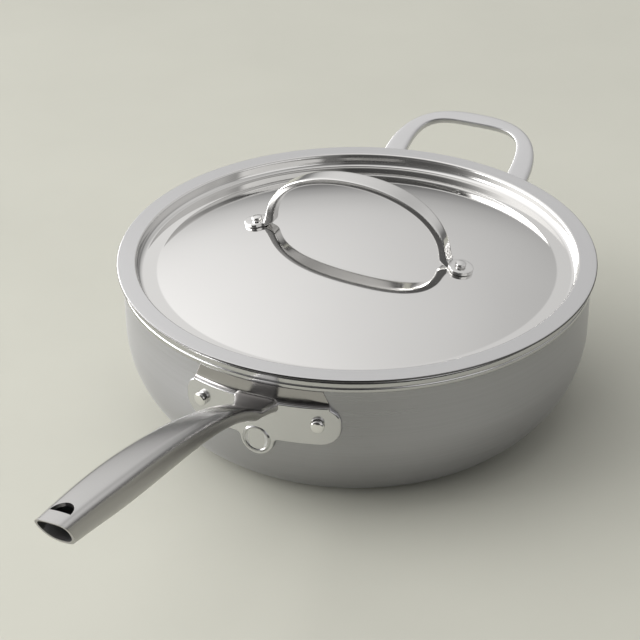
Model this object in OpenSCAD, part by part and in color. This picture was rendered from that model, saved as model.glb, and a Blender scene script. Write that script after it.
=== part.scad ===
// Saute pan of clad sheet metal with a riveted long handle, a helper handle and a domed lid.
// Frame: origin at the middle of the base's underside, +Z up, +X along the long handle.
// All sizes are in millimetres.

/* [Pan] */
// Outer diameter of the straight part of the wall
wall_d = 287.3; // [250:0.1:320]
// Height from the underside of the base to the top of the rim
pan_h = 97; // [80:0.2:130]
// Diameter of the flat that the pan stands on
base_d = 207.8; // [196:0.2:220]
// Radius of the large bulge between wall and base
bulge_r = 65.7; // [56:0.1:72]
// Radius of the small bend that leads from the bulge into the flat base
heel_r = 24; // [12:0.5:32]
// Thickness of the outer steel skin
skin_t = 0.8; // [0.5:0.1:1.2]
// Thickness of the aluminium layer in the middle
core_t = 1.6; // [1:0.1:3]
// Thickness of the steel layer that the food touches
liner_t = 0.6; // [0.4:0.1:1]

/* [Pouring lip] */
// How far the lip stands out from the wall
lip_out = 1.4; // [0.8:0.1:2.4]
// Height of the lip from its cove to the top of the rim
lip_h = 9; // [7:0.5:14]
// Height of the cove that leads from the wall out to the lip
lip_cove_h = 2.8; // [1.5:0.1:4]
// Radius of the lip's outer shoulder
lip_shoulder_r = 2.8; // [1.5:0.1:3]
// Radius of the rim's inner edge
rim_inner_r = 0.8; // [0.3:0.1:1]

/* [Lid] */
// Thickness of the lid's sheet
lid_t = 1.2; // [0.8:0.1:1.8]
// How far the lid's flange reaches past the wall of the pan
flange_over = 3.4; // [2.4:0.1:8]
// Radius of the flange's rounded outer edge
flange_edge_r = 1; // [0.4:0.1:1]
// Gap all round between the lid's step and the inside of the pan
lid_slip = 4.6; // [1:0.1:6]
// Depth of the lid's channel below the flange
channel_depth = 8; // [5:0.5:14]
// Width of the channel, from its outer wall to the foot of the dome
channel_w = 12; // [9:0.5:20]
// Radius of the bend between flange and channel
channel_bend_r = 1.6; // [1.4:0.1:3]
// Radius of the hollow corner at the bottom of the channel
channel_corner_r = 3.5; // [2:0.1:4]
// Width of the soft corner between the channel's floor and the dome
dome_foot_w = 3; // [1:0.5:4]
// Height of the dome's top above the flange
dome_rise = 8.8; // [4:0.2:25]
// How far the lid is turned on the pan, in degrees
lid_turn = -2.7; // [-180:0.1:180]

/* [Lid handle] */
// Distance between the two rivets of the lid handle
lid_rivet_gap = 137; // [110:1:160]
// Radius of the round foot at each end of the lid handle
lid_foot_r = 8; // [6.5:0.5:11]
// Thickness of the feet
lid_foot_t = 2.6; // [1.5:0.1:4]
// Width of the arch across its two legs
arch_span = 118; // [90:1:130]
// Height of the arch's top above the top of the dome
arch_over_dome = 41.2; // [32:0.5:60]
// Width of the strap at the top of the arch
strap_w = 13; // [8:0.5:16]
// Width of the strap where it meets the feet
strap_root_w = 8; // [6:0.5:12]
// Thickness of the strap
strap_t = 3; // [2:0.1:5]
// How square the arch is: 2 is an ellipse, and more is squarer
arch_power = 2.1; // [1.8:0.05:3]

/* [Handle plates] */
// Height of both handles' plates
plate_h = 25; // [23:0.5:30]
// Height of the plates' top edge above the underside of the base
plate_top = 78.5; // [75:0.5:81]
// Thickness of the plates at the middle
plate_t = 3.4; // [2.8:0.1:5]
// Radius of the plates' front face: below the wall's own radius the plates thin out to their ends
plate_front_r = 125; // [115:1:200]
// Radius of the plates' corners
plate_corner_r = 11; // [6:0.5:11]
// Gap between a plate and the wall that it hugs
plate_seat = 0.05; // [0.02:0.01:0.2]
// Width of the long handle's plate
plate_w = 96; // [84:0.2:104]
// Diameter of the plain roundel on the long handle's plate
roundel_d = 17.4; // [14:0.5:22]
// Height of the roundel's centre above the plate's lower edge
roundel_up = -1.6; // [-4:0.1:4]
// Width of metal round the roundel
roundel_rim = 1.8; // [1.5:0.1:4]
// Depth of the ring groove round the roundel
roundel_groove = 0.5; // [0.2:0.1:1]
// Width of the ring groove round the roundel
roundel_line = 0.8; // [0.5:0.1:1.2]
// Height of the hollow that sweeps from the plate up to the lip
sweep_h = 9.5; // [6:0.5:10]
// Width of the sweep at its top
sweep_top_w = 76; // [60:1:90]
// Thickness of the sweep's top edge against the wall
sweep_edge_t = 0.5; // [0.3:0.1:1]

/* [Long handle] */
// Distance from the pan's axis to the tip of the long handle
tip_x = 361.5; // [320:0.5:420]
// Height of the tip's top edge above the underside of the base
tip_z = 143; // [110:0.5:170]
// Distance from the plate's front to the start of the grip's line
neck_out = 10; // [7:0.5:14]
// Height of the start of the grip's line above the plate's top edge
neck_up = 1.5; // [0:0.1:3]
// Slope at which the neck leaves the plate, in degrees
neck_slope = 35; // [20:1:45]
// How long the line keeps the neck's slope, as a part of its length
neck_pull = 0.28; // [0.15:0.01:0.45]
// Slope of the grip at its tip, in degrees
tip_slope = 6.5; // [0:0.5:20]
// How long the line keeps the tip's slope, as a part of its length
tip_pull = 0.38; // [0.2:0.01:0.55]
// Half the width of the neck at its narrowest
neck_half_w = 5.8; // [4.5:0.1:8]
// Thickness of the neck at its narrowest
neck_t = 7.4; // [7:0.1:12]
// Half the width of the grip at its widest
grip_half_w = 10.7; // [9:0.1:14]
// Thickness of the grip at its thickest
grip_t = 21; // [15:0.1:24]
// Where the grip is fullest, from 0 at the neck to 1 at the tip
grip_peak = 0.72; // [0.5:0.01:0.9]
// Half the width of the grip at its tip
tip_half_w = 8.2; // [7:0.1:12]
// Thickness of the grip at its tip
tip_t = 17; // [13:0.1:22]
// Half the width of the root where the neck leaves the plate
root_half_w = 12; // [8:0.1:14]
// How much thicker the root is than the neck
root_extra_t = 5.5; // [3:0.5:8]
// Wall of the hollow grip
grip_wall = 1.9; // [1.5:0.1:3]
// Length of the hollow inside the grip
hollow_l = 150; // [80:5:165]
// How far the open end is cut back from square, in degrees
tip_cut = 30; // [20:1:50]
// Width of the hanging hole
hang_w = 11; // [8:0.1:12]
// Length of the hanging hole
hang_l = 8.8; // [7:0.1:16]
// Distance from the tip to the hanging hole's straight side
hang_from_tip = 10.5; // [8:0.5:20]

/* [Helper handle] */
// Width of the loop across its legs
loop_w = 106; // [90:1:120]
// Reach of the loop from the front of its plate, along its slope
loop_l = 65.5; // [50:0.5:75]
// Width of the loop's legs
leg_w = 15; // [11:0.5:18]
// Width of the loop at its far end
bow_w = 9.5; // [7:0.5:12]
// How square the loop's outer edge is: 2 is an ellipse, and more is squarer
loop_power = 2.6; // [2:0.1:4]
// How square the opening inside the loop is
loop_hole_power = 4; // [3:0.1:5]
// Thickness of the loop
loop_t = 4.8; // [3.5:0.1:8]
// Slope at which the loop rises, in degrees
loop_slope = 22.2; // [5:0.1:30]
// How far the helper handle sits off the line through the long handle, in degrees
helper_turn = -1.7; // [-5:0.1:5]
// How far the helper plate reaches past the outside of the legs, on each side
helper_plate_past = 2; // [1:0.5:5]

/* [Rivets] */
// Distance between the two rivets of the long handle
rivet_gap = 70.4; // [60:0.1:78]
// Distance between the two rivets of the helper handle
helper_rivet_gap = 62; // [50:1:70]
// Height of the rivets below the plates' top edge
rivet_down = 11; // [8:0.5:14]
// Diameter of a pan rivet's outer head
rivet_head_d = 8; // [7:0.1:11]
// Height of a pan rivet's outer head
rivet_head_h = 4; // [2.6:0.1:5]
// Radius of the rounded edge of a pan rivet's outer head
rivet_edge_r = 1; // [0.5:0.1:2]
// Diameter of a pan rivet's shank
rivet_shank_d = 6; // [4:0.1:6.6]
// Diameter of the flat head inside the pan
rivet_inner_d = 13; // [10:0.5:16]
// Height of the flat head inside the pan
rivet_inner_h = 1.6; // [1:0.1:3]
// Diameter of a lid rivet's flat head under the lid
lid_rivet_inner_d = 8.6; // [7:0.1:12]
// Height of a lid rivet's flat head under the lid
lid_rivet_inner_h = 1; // [0.6:0.1:2]
// Diameter of a lid rivet's head
lid_rivet_head_d = 6.6; // [6:0.1:9]
// Height of a lid rivet's head
lid_rivet_head_h = 2.6; // [1.5:0.1:4]
// Diameter of a lid rivet's shank
lid_rivet_shank_d = 4.5; // [3:0.1:5.5]
// Gap between a rivet's shank and its hole
rivet_clear = 0.05; // [0.02:0.01:0.2]
// Gap between a pan rivet's outer head and the middle of its seat on the plate
rivet_seat = 0.3; // [0.25:0.05:0.6]
// Gap between a rivet's flat head and the sheet that it bears on
flat_head_gap = 0.1; // [0.05:0.05:0.3]

/* [Hidden] */

$fn = 96;
wall_r = wall_d / 2;
base_r = base_d / 2;
wall_t = skin_t + core_t + liner_t;
rim_in_r = wall_r - wall_t;
rim_cap = lip_h - lip_cove_h;
lip_r = wall_r + lip_out;
// The heel turns through this angle before the bulge takes over
heel_a = asin((bulge_r - (wall_r - base_r)) / (bulge_r - heel_r));
bulge_top = heel_r * (1 - cos(heel_a)) + bulge_r * cos(heel_a);

flange_z = pan_h + lid_t;
flange_r = wall_r + flange_over;
step_r = rim_in_r - lid_slip;
channel_r = step_r - lid_t;
dome_r = channel_r - channel_w;
floor_z = flange_z - channel_depth;
// The dome is a cap of a sphere that lands on the channel's floor
dome_h = dome_rise + channel_depth;
dome_sphere_r = (dome_r * dome_r + dome_h * dome_h) / (2 * dome_h);
dome_slope = asin(dome_r / dome_sphere_r);

foot_y = lid_rivet_gap / 2;
foot_slope = asin(foot_y / dome_sphere_r);
arch_top_z = flange_z + dome_rise + arch_over_dome;

plate_bottom = plate_top - plate_h;
plate_front = wall_r + plate_t;
plate_axis_x = plate_front - plate_front_r;
rivet_z = plate_top - rivet_down;
rivet_half_a = asin(rivet_gap / 2 / wall_r);
helper_rivet_half_a = asin(helper_rivet_gap / 2 / wall_r);
roundel_z = plate_bottom + roundel_up;
lobe_r = roundel_d / 2 + roundel_rim;
helper_plate_w = loop_w + 2 * helper_plate_past;

// The grip's top line is one Bezier curve from the plate to the tip
neck_x = plate_front + neck_out;
neck_z = plate_top + neck_up;
line_pts = [[neck_x, neck_z],
            [neck_x, neck_z] + neck_pull * (tip_x - neck_x) * [cos(neck_slope), sin(neck_slope)],
            [tip_x, tip_z] - tip_pull * (tip_x - neck_x) * [cos(tip_slope), sin(tip_slope)],
            [tip_x, tip_z]];

steel = [0.78, 0.78, 0.77];
bright = [0.86, 0.86, 0.86];
alloy = [0.66, 0.67, 0.69];

// Points along an arc round a centre, from angle a0 to angle a1
function arc(c, r, a0, a1, n) = [for (i = [0:n]) c + r * [cos(a0 + (a1 - a0) * i / n), sin(a0 + (a1 - a0) * i / n)]];

// A list in reverse order
function back(v) = [for (i = [len(v) - 1:-1:0]) v[i]];

// 0 to 1 with level ends, as x goes from a to b
function ease(x, a, b) = let (s = min(1, max(0, (x - a) / (b - a)))) s * s * (3 - 2 * s);

// A number raised to a power with its sign kept
function spow(x, p) = sign(x) * pow(abs(x), p);

// The pan's outer curve moved inward by d, from the axis to the height top
function pan_curve(d, top) = concat(
    [[0, d]],
    arc([base_r, heel_r], heel_r - d, -90, heel_a - 90, 8),
    arc([wall_r - bulge_r, bulge_top], bulge_r - d, heel_a - 90, 0, 24),
    [[wall_r - d, top]]);

// The pan's metal between two depths below its outer face
module pan_layer(d0, d1, top) {
    rotate_extrude($fn = 180)
        polygon(concat(pan_curve(d0, top), back(pan_curve(d1, top))));
}

// Everything inside the pan's outer face, grown by a gap
module pan_envelope(gap) {
    rotate_extrude($fn = 180)
        polygon(concat(pan_curve(-gap, pan_h), [[0, pan_h]]));
}

// The outer curve of the lip, from the wall to the seat for the lid
function lip_curve() = concat(
    [for (i = [0:8]) [wall_r + lip_out * ease(i, 0, 8), pan_h - lip_h + lip_cove_h * i / 8]],
    arc([lip_r - lip_shoulder_r, pan_h - lip_shoulder_r], lip_shoulder_r, 0, 90, 8),
    arc([rim_in_r + rim_inner_r, pan_h - rim_inner_r], rim_inner_r, 90, 180, 5));

// Turns its children from the helper's own side to where the helper handle sits
module at_helper() {
    rotate([0, 0, 180 + helper_turn]) children();
}

// Puts its children at both rivets of a handle, with their axis pointing out of the wall
module at_rivets(half_a) {
    for (side = [-1, 1])
        rotate([0, 0, side * half_a]) translate([wall_r, 0, rivet_z]) rotate([0, 90, 0]) children();
}

// Straight holes through wall and plate for one handle's rivets
module rivet_holes(half_a) {
    hole_l = 4 * (wall_t + plate_t);
    at_rivets(half_a)
        translate([0, 0, -hole_l / 2]) cylinder(d = rivet_shank_d + 2 * rivet_clear, h = hole_l, $fn = 32);
}

module pan_rivet_holes() {
    rivet_holes(rivet_half_a);
    at_helper() rivet_holes(helper_rivet_half_a);
}

module outer_shell() {
    color(steel) difference() {
        rotate_extrude($fn = 180)
            polygon(concat(
                pan_curve(0, pan_h - lip_h),
                lip_curve(),
                [[rim_in_r, pan_h - rim_cap], [wall_r - skin_t, pan_h - rim_cap]],
                back(pan_curve(skin_t, pan_h - lip_h))));
        pan_rivet_holes();
    }
}

module aluminium_core() {
    color(alloy) difference() {
        pan_layer(skin_t, skin_t + core_t, pan_h - rim_cap);
        pan_rivet_holes();
    }
}

module cooking_liner() {
    color(bright) difference() {
        pan_layer(skin_t + core_t, wall_t, pan_h - rim_cap);
        pan_rivet_holes();
    }
}

// A rivet through the pan's wall: domed outer head, shank and flat inner head
module pan_rivet(half_a) {
    head_r = rivet_head_d / 2;
    flat_r = rivet_inner_d / 2;
    // The flat head's edge meets the round wall before its middle does
    inside = sqrt(rim_in_r * rim_in_r - flat_r * flat_r) - wall_r - flat_head_gap;
    off = plate_axis_x * sin(half_a);
    seat = plate_axis_x * cos(half_a) + sqrt(plate_front_r * plate_front_r - off * off) - wall_r + rivet_seat;
    rotate_extrude($fn = 48)
        polygon(concat(
            [[0, inside - rivet_inner_h], [flat_r - rivet_inner_h, inside - rivet_inner_h]],
            [[flat_r, inside], [rivet_shank_d / 2, inside]],
            [[rivet_shank_d / 2, seat], [head_r, seat]],
            arc([head_r - rivet_edge_r, seat + rivet_head_h - 1.4 * rivet_edge_r], rivet_edge_r, 0, 70, 4),
            [[0, seat + rivet_head_h]]));
}

// The outline of a plate in the plane of its front face, with an optional roundel lobe
module plate_outline(w, lobe) {
    inner_corner_r = 3;
    translate([0, plate_bottom]) offset(r = -inner_corner_r) offset(delta = inner_corner_r) {
        translate([-w / 2 + plate_corner_r, plate_corner_r])
            offset(r = plate_corner_r, $fn = 64)
                square([w - 2 * plate_corner_r, plate_h - 2 * plate_corner_r]);
        if (lobe)
            translate([0, roundel_up]) circle(r = lobe_r, $fn = 64);
    }
}

// Stands a flat outline up through the pan's wall, facing +X
module against_wall() {
    depth = 30;
    translate([plate_front - depth, 0, 0]) rotate([90, 0, 90]) linear_extrude(2 * depth) children();
}

// The plate of a handle: its outline, cut to the front face and to the pan's wall
module plate(w, lobe) {
    difference() {
        intersection() {
            against_wall() plate_outline(w, lobe);
            translate([plate_axis_x, 0, 0]) cylinder(r = plate_front_r, h = pan_h, $fn = 240);
        }
        pan_envelope(plate_seat);
    }
}

// The hollow sweep from the plate's top edge up to just under the lip
module sweep() {
    r1 = wall_r + sweep_edge_t;
    z0 = plate_top - plate_corner_r;
    z1 = plate_top + sweep_h;
    // The sweep's sides start on the plate's corners, at 60 degrees round them
    side_y = plate_w / 2 - plate_corner_r * (1 - cos(60));
    side_z = z0 + plate_corner_r * sin(60);
    difference() {
        intersection() {
            rotate_extrude($fn = 240)
                polygon(concat([[rim_in_r, z0], [plate_front, z0]],
                               [for (i = [0:8]) [plate_front - (plate_front - r1) * sin(90 * i / 8),
                                                 z1 - sweep_h * cos(90 * i / 8)]],
                               [[rim_in_r, z1]]));
            translate([plate_axis_x, 0, z0]) cylinder(r = plate_front_r, h = z1 - z0, $fn = 240);
            against_wall()
                polygon([[-side_y, side_z], [-plate_w / 2 + plate_corner_r, z0],
                         [plate_w / 2 - plate_corner_r, z0], [side_y, side_z],
                         [sweep_top_w / 2, z1], [-sweep_top_w / 2, z1]]);
        }
        pan_envelope(plate_seat);
    }
}

// One ring of a grip section, half width w and thickness t, hung below the line's point
function grip_ring(w, t) = [for (i = [0:grip_sides - 1])
    let (a = 360 * i / grip_sides, up = sin(a) > 0)
    [w * spow(cos(a), 0.75),
     up ? -0.3 * t + 0.3 * t * spow(sin(a), 0.6) : -0.3 * t + 0.7 * t * spow(sin(a), 0.85)]];

// A point and a slope on the grip's top line, for u from 0 at the neck to 1 at the tip
function line_at(u) = pow(1 - u, 3) * line_pts[0] + 3 * u * pow(1 - u, 2) * line_pts[1]
                      + 3 * u * u * (1 - u) * line_pts[2] + pow(u, 3) * line_pts[3];
function line_dir(u) = 3 * pow(1 - u, 2) * (line_pts[1] - line_pts[0])
                       + 6 * u * (1 - u) * (line_pts[2] - line_pts[1])
                       + 3 * u * u * (line_pts[3] - line_pts[2]);
function line_slope(u) = let (d = line_dir(u)) atan2(d[1], d[0]);

// A ring's points set square to the line, so that the section leans with the slope
function ring_at(p, a, ring) = [for (q = ring) [p[0] - q[1] * sin(a), q[0], p[1] + q[1] * cos(a)]];

// Half width and thickness of the grip along its line
function swell(u, neck, full, tip) = neck + (full - neck) * ease(u, -0.1, grip_peak)
                                     - (full - tip) * ease(u, grip_peak, 1.1);
function grip_w(u) = swell(u, neck_half_w, grip_half_w, tip_half_w);
function grip_h(u) = swell(u, neck_t, grip_t, tip_t);

grip_sides = 32;
grip_steps = 26;

// The rings from inside the plate, through the neck, to past the tip
function root_rings() = [for (s = [1, 0.8, 0.62, 0.45, 0.3, 0.15])
    ring_at([neck_x - s * (neck_out + wall_t + plate_t), neck_z - neck_up * s],
            neck_slope * (1 - s),
            grip_ring(grip_w(0) + (root_half_w - grip_w(0)) * s * s,
                      grip_h(0) + root_extra_t * s * s))];
function grip_rings() = [for (i = [0:grip_steps]) let (u = i / grip_steps)
    ring_at(line_at(u), line_slope(u), grip_ring(grip_w(u), grip_h(u)))];

// A closed skin over a row of rings
module skin(rings) {
    n = len(rings[0]);
    m = len(rings);
    polyhedron(
        points = [for (r = rings) for (p = r) p],
        faces = concat(
            [[for (j = [0:n - 1]) j]],
            [for (i = [0:m - 2]) for (j = [0:n - 1])
                let (k = (j + 1) % n) each [[i * n + j, i * n + n + j, i * n + k],
                                            [i * n + k, i * n + n + j, i * n + n + k]]],
            [[for (j = [n - 1:-1:0]) (m - 1) * n + j]]),
        convexity = 6);
}

// The space inside the grip, open at the tip
module grip_hollow() {
    u0 = 1 - hollow_l / (tip_x - neck_x);
    steps = 14;
    skin([for (i = [0:steps])
        let (u = u0 + (1 - u0) * i / steps,
             p = line_at(u), a = line_slope(u),
             grow = i == 0 ? 0.35 : 1,
             w = (grip_w(u) - grip_wall) * grow,
             t = (grip_h(u) - 2 * grip_wall) * grow,
             drop = (grip_h(u) - t) / 2)
        ring_at(p + (i == steps ? 1 : 0) * [cos(a), sin(a)] + drop * [sin(a), -cos(a)], a, grip_ring(w, t))]);
}

// The hanging hole, through the top of the grip only
module hanging_hole() {
    translate([tip_x, 0, tip_z]) rotate([0, -tip_slope, 0])
        translate([-hang_from_tip, 0, -grip_t / 2]) linear_extrude(grip_t)
            polygon([for (i = [0:18]) [-hang_l * cos(-90 + 10 * i), hang_w / 2 * sin(-90 + 10 * i)]]);
}

module long_handle() {
    color(bright) difference() {
        union() {
            plate(plate_w, true);
            sweep();
            difference() {
                skin(concat(root_rings(), grip_rings()));
                pan_envelope(plate_seat);
                translate([tip_x, 0, tip_z]) rotate([0, tip_cut, 0])
                    translate([0, -grip_t, -2 * grip_t]) cube([2 * grip_t, 2 * grip_t, 3 * grip_t]);
                grip_hollow();
                hanging_hole();
            }
        }
        rivet_holes(rivet_half_a);
        translate([plate_front - roundel_groove, 0, roundel_z]) rotate([0, 90, 0]) difference() {
            cylinder(d = roundel_d, h = plate_t, $fn = 64);
            translate([0, 0, -plate_t]) cylinder(d = roundel_d - 2 * roundel_line, h = 3 * plate_t, $fn = 64);
        }
    }
}

module long_handle_rivets() {
    color(bright) at_rivets(rivet_half_a) pan_rivet(rivet_half_a);
}

// Outer and inner edge of the helper loop in its own plane, for a from 0 to 180 degrees
function loop_outer(a) = [loop_foot + (loop_l - loop_foot) * spow(sin(a), 2 / loop_power),
                          loop_w / 2 * spow(cos(a), 2 / loop_power)];
function loop_inner(a) = [loop_foot + (loop_l - bow_w - loop_foot) * spow(sin(a), 2 / loop_hole_power),
                          (loop_w / 2 - leg_w) * spow(cos(a), 2 / loop_hole_power)];
// The legs run straight from inside the plate to where the curved part starts
loop_foot = 13;
loop_in = 14;

// A ring round the bar between two points of the loop's plane
function bar_ring(a, b) = let (m = (a + b) / 2, h = (b - a) / 2)
    [for (i = [0:15]) let (q = 360 * (i + 0.5) / 16)
        [(m + h * spow(cos(q), 0.45))[0], (m + h * spow(cos(q), 0.45))[1], loop_t / 2 * (spow(sin(q), 0.45) - 1)]];

module helper_loop() {
    leg_out = loop_w / 2;
    leg_in = loop_w / 2 - leg_w;
    bow = [for (i = [0:36]) bar_ring(loop_inner(180 * i / 36), loop_outer(180 * i / 36))];
    translate([plate_front, 0, plate_top]) rotate([0, -loop_slope, 0])
        skin(concat([bar_ring([-loop_in, leg_in], [-loop_in, leg_out])], bow,
                    [bar_ring([-loop_in, -leg_in], [-loop_in, -leg_out])]));
}

module helper_handle() {
    color(bright) at_helper() difference() {
        union() {
            plate(helper_plate_w, false);
            difference() {
                helper_loop();
                pan_envelope(plate_seat);
            }
        }
        rivet_holes(helper_rivet_half_a);
    }
}

module helper_handle_rivets() {
    color(bright) at_helper() at_rivets(helper_rivet_half_a) pan_rivet(helper_rivet_half_a);
}

// Height of the dome's top face at a radius
function dome_z(r) = floor_z - dome_sphere_r * cos(dome_slope) + sqrt(dome_sphere_r * dome_sphere_r - r * r);

// The lid's top face, from its middle out to the flange
function lid_top() = concat(
    [for (i = [0:20]) let (r = (dome_r - dome_foot_w) * i / 20) [r, dome_z(r)]],
    [for (i = [1:6])
        let (r = dome_r - dome_foot_w + 2 * dome_foot_w * i / 6,
             z0 = dome_z(dome_r - dome_foot_w) - floor_z)
        [r, floor_z + z0 * pow(1 - i / 6, 2)]],
    arc([channel_r - channel_corner_r, floor_z + channel_corner_r], channel_corner_r, -90, 0, 8),
    arc([channel_r + channel_bend_r, flange_z - channel_bend_r], channel_bend_r, 180, 90, 8),
    [[flange_r - flange_edge_r, flange_z]]);

// A curve moved to its right by d, square to itself
function beside(v, d) = [for (i = [0:len(v) - 1])
    let (t = v[min(i + 1, len(v) - 1)] - v[max(i - 1, 0)])
    v[i] + d * [t[1], -t[0]] / norm(t)];

module lid_shell() {
    top = lid_top();
    under = beside(top, lid_t);
    color(bright) turned() difference() {
        rotate_extrude($fn = 180)
            polygon(concat(
                top,
                arc([flange_r - flange_edge_r, flange_z - flange_edge_r], flange_edge_r, 80, 0, 5),
                [[flange_r - lid_t + flange_edge_r, pan_h]],
                back([for (i = [1:len(under) - 1]) under[i]]),
                [[0, under[0][1]]]));
        at_lid_feet() translate([0, 0, -2 * lid_t])
            cylinder(d = lid_rivet_shank_d + 2 * rivet_clear, h = 4 * lid_t, $fn = 32);
    }
}

module turned() {
    rotate([0, 0, lid_turn]) children();
}

// Puts its children on the dome at both feet, with their axis square to the dome
module at_lid_feet() {
    for (side = [0, 180])
        rotate([0, 0, side]) translate([0, foot_y, dome_z(foot_y)]) rotate([-foot_slope, 0, 0]) children();
}

// The strap's line: a squared ellipse that stands on the dome, for a from 0 to 180 degrees
function arch_at(a) = [arch_span / 2 * spow(cos(a), 2 / arch_power),
                       arch_foot_z + (arch_top_z - strap_t / 2 - arch_foot_z) * spow(sin(a), 2 / arch_power)];
arch_foot_z = dome_z(arch_span / 2 - strap_t / 2);
arch_steps = 44;

// A ring round the strap at point p, with outward direction n, thickened outward by flare
function strap_ring(p, n, w, flare) = [for (i = [0:15])
    let (q = 360 * (i + 0.5) / 16,
         s = flare / 2 + (strap_t + flare) / 2 * spow(sin(q), 0.7))
    [w / 2 * spow(cos(q), 0.55), p[0] + s * n[0], p[1] + s * n[1]]];

module lid_arch() {
    skin([for (i = [0:arch_steps])
        let (a = 180 * i / arch_steps,
             t = arch_at(min(a + 1, 180)) - arch_at(max(a - 1, 0)),
             n = [t[1], -t[0]] / norm(t))
        strap_ring(arch_at(a), n,
                   strap_root_w + (strap_w - strap_root_w) * ease(sin(a), 0.3, 1),
                   lid_foot_t * (1 - ease(sin(a), 0, 0.12)))]);
}

module lid_handle() {
    color(bright) turned() difference() {
        union() {
            lid_arch();
            at_lid_feet() {
                cylinder(r = lid_foot_r, h = lid_foot_t, $fn = 64);
                translate([-strap_root_w / 2, -foot_y + arch_span / 2 - 1, 0])
                    cube([strap_root_w, foot_y - arch_span / 2, lid_foot_t]);
            }
        }
        at_lid_feet() translate([0, 0, -lid_foot_t])
            cylinder(d = lid_rivet_shank_d + 2 * rivet_clear, h = 3 * lid_foot_t, $fn = 32);
    }
}

// A rivet through foot and lid, with a domed head above and a flat head below
module lid_rivet() {
    head_r = lid_rivet_head_d / 2;
    inner_r = lid_rivet_inner_d / 2;
    edge_r = 0.8;
    under = -lid_t - flat_head_gap;
    rotate_extrude($fn = 48)
        polygon(concat(
            [[0, under - lid_rivet_inner_h], [inner_r - lid_rivet_inner_h / 2, under - lid_rivet_inner_h]],
            [[inner_r, under], [lid_rivet_shank_d / 2, under]],
            [[lid_rivet_shank_d / 2, lid_foot_t], [head_r, lid_foot_t]],
            arc([head_r - edge_r, lid_foot_t + lid_rivet_head_h - 1.4 * edge_r], edge_r, 0, 70, 4),
            [[0, lid_foot_t + lid_rivet_head_h]]));
}

module lid_handle_rivets() {
    color(bright) turned() at_lid_feet() lid_rivet();
}

outer_shell();
aluminium_core();
cooking_liner();
long_handle();
long_handle_rivets();
helper_handle();
helper_handle_rivets();
lid_shell();
lid_handle();
lid_handle_rivets();
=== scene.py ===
import math

import bmesh
import bpy
from bpy.props import FloatProperty, FloatVectorProperty, PointerProperty
from mathutils import Matrix, Vector


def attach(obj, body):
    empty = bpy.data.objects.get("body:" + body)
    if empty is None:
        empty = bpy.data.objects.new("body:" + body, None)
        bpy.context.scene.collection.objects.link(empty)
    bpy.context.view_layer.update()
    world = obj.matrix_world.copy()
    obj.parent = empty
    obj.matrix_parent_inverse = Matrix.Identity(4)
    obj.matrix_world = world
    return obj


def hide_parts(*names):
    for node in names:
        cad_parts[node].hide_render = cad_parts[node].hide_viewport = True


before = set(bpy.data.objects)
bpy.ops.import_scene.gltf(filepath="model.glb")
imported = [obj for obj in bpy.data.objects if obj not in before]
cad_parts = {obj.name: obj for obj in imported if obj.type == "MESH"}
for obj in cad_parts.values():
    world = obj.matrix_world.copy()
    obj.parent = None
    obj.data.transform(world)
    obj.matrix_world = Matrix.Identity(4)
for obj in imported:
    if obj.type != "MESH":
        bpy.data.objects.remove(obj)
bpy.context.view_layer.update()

bl_info = {
    "name": "Saute Pan with Lid",
    "version": (1, 0, 0),
    "blender": (4, 5, 0),
    "location": "View3D > Sidebar > Saute Pan",
    "description": "Builds a riveted clad saute pan with a domed lid, its steel finishes and a plain studio",
    "category": "Add Mesh",
}

MM = 0.001
PAN, LID = "pan", "lid"
# Steps of a full turn on the round pieces, the roundel and the rivets
ROUND_STEPS, ROUNDEL_STEPS, RIVET_STEPS = 256, 96, 64
# Points nearer to each other than these are merged
WELD, FINE_WELD = 1e-6, 1e-7
# How far a plate's back stands off the wall, and a rivet's head off its plate
PLATE_GAP, HEAD_GAP = 0.05 * MM, 0.02 * MM
UP = (0, 0, 1)
# The picture's left and its depth, seen from above, and the way to the window
LEFT = (0.382, -0.924, 0)
BACK = (-0.924, -0.382, 0)
WINDOW = (0.39, 0.84, 0.38)


def length(name, description, mm):
    return FloatProperty(name=name, description=description, default=mm * MM, unit="LENGTH",
                         subtype="DISTANCE")


def turn(name, description, degrees):
    return FloatProperty(name=name, description=description, default=math.radians(degrees), subtype="ANGLE")


def number(name, description, default):
    return FloatProperty(name=name, description=description, default=default)


def share(name, description, default):
    return FloatProperty(name=name, description=description, default=default, min=0, max=1, subtype="FACTOR")


def colour(name, description, rgb):
    return FloatVectorProperty(name=name, description=description, default=rgb, size=3, min=0, max=1,
                               subtype="COLOR")


class SautePanBody(bpy.types.PropertyGroup):
    wall_r: length("Wall radius", "Outer radius of the straight part of the wall", 143.65)
    height: length("Height", "From the underside of the base to the rim", 97)
    base_r: length("Base radius", "Radius of the flat that the pan stands on", 103.9)
    bulge_r: length("Bulge radius", "Radius of the large curve between wall and base", 65.7)
    heel_r: length("Heel radius", "Radius of the small curve into the flat base", 24)
    skin_t: length("Skin", "Thickness of the outer steel skin", 0.8)
    core_t: length("Core", "Thickness of the aluminium layer", 1.6)
    liner_t: length("Liner", "Thickness of the inner steel layer", 0.6)
    lip_out: length("Lip reach", "How far the lip stands out from the wall", 1.4)
    lip_h: length("Lip height", "Height of the lip with its cove", 9)
    lip_cove_h: length("Lip cove", "Height of the cove under the lip", 2.8)
    lip_shoulder_r: length("Lip shoulder", "Radius of the lip's outer shoulder", 2.8)
    rim_inner_r: length("Rim edge", "Radius of the rim's inner edge", 0.8)


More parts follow.
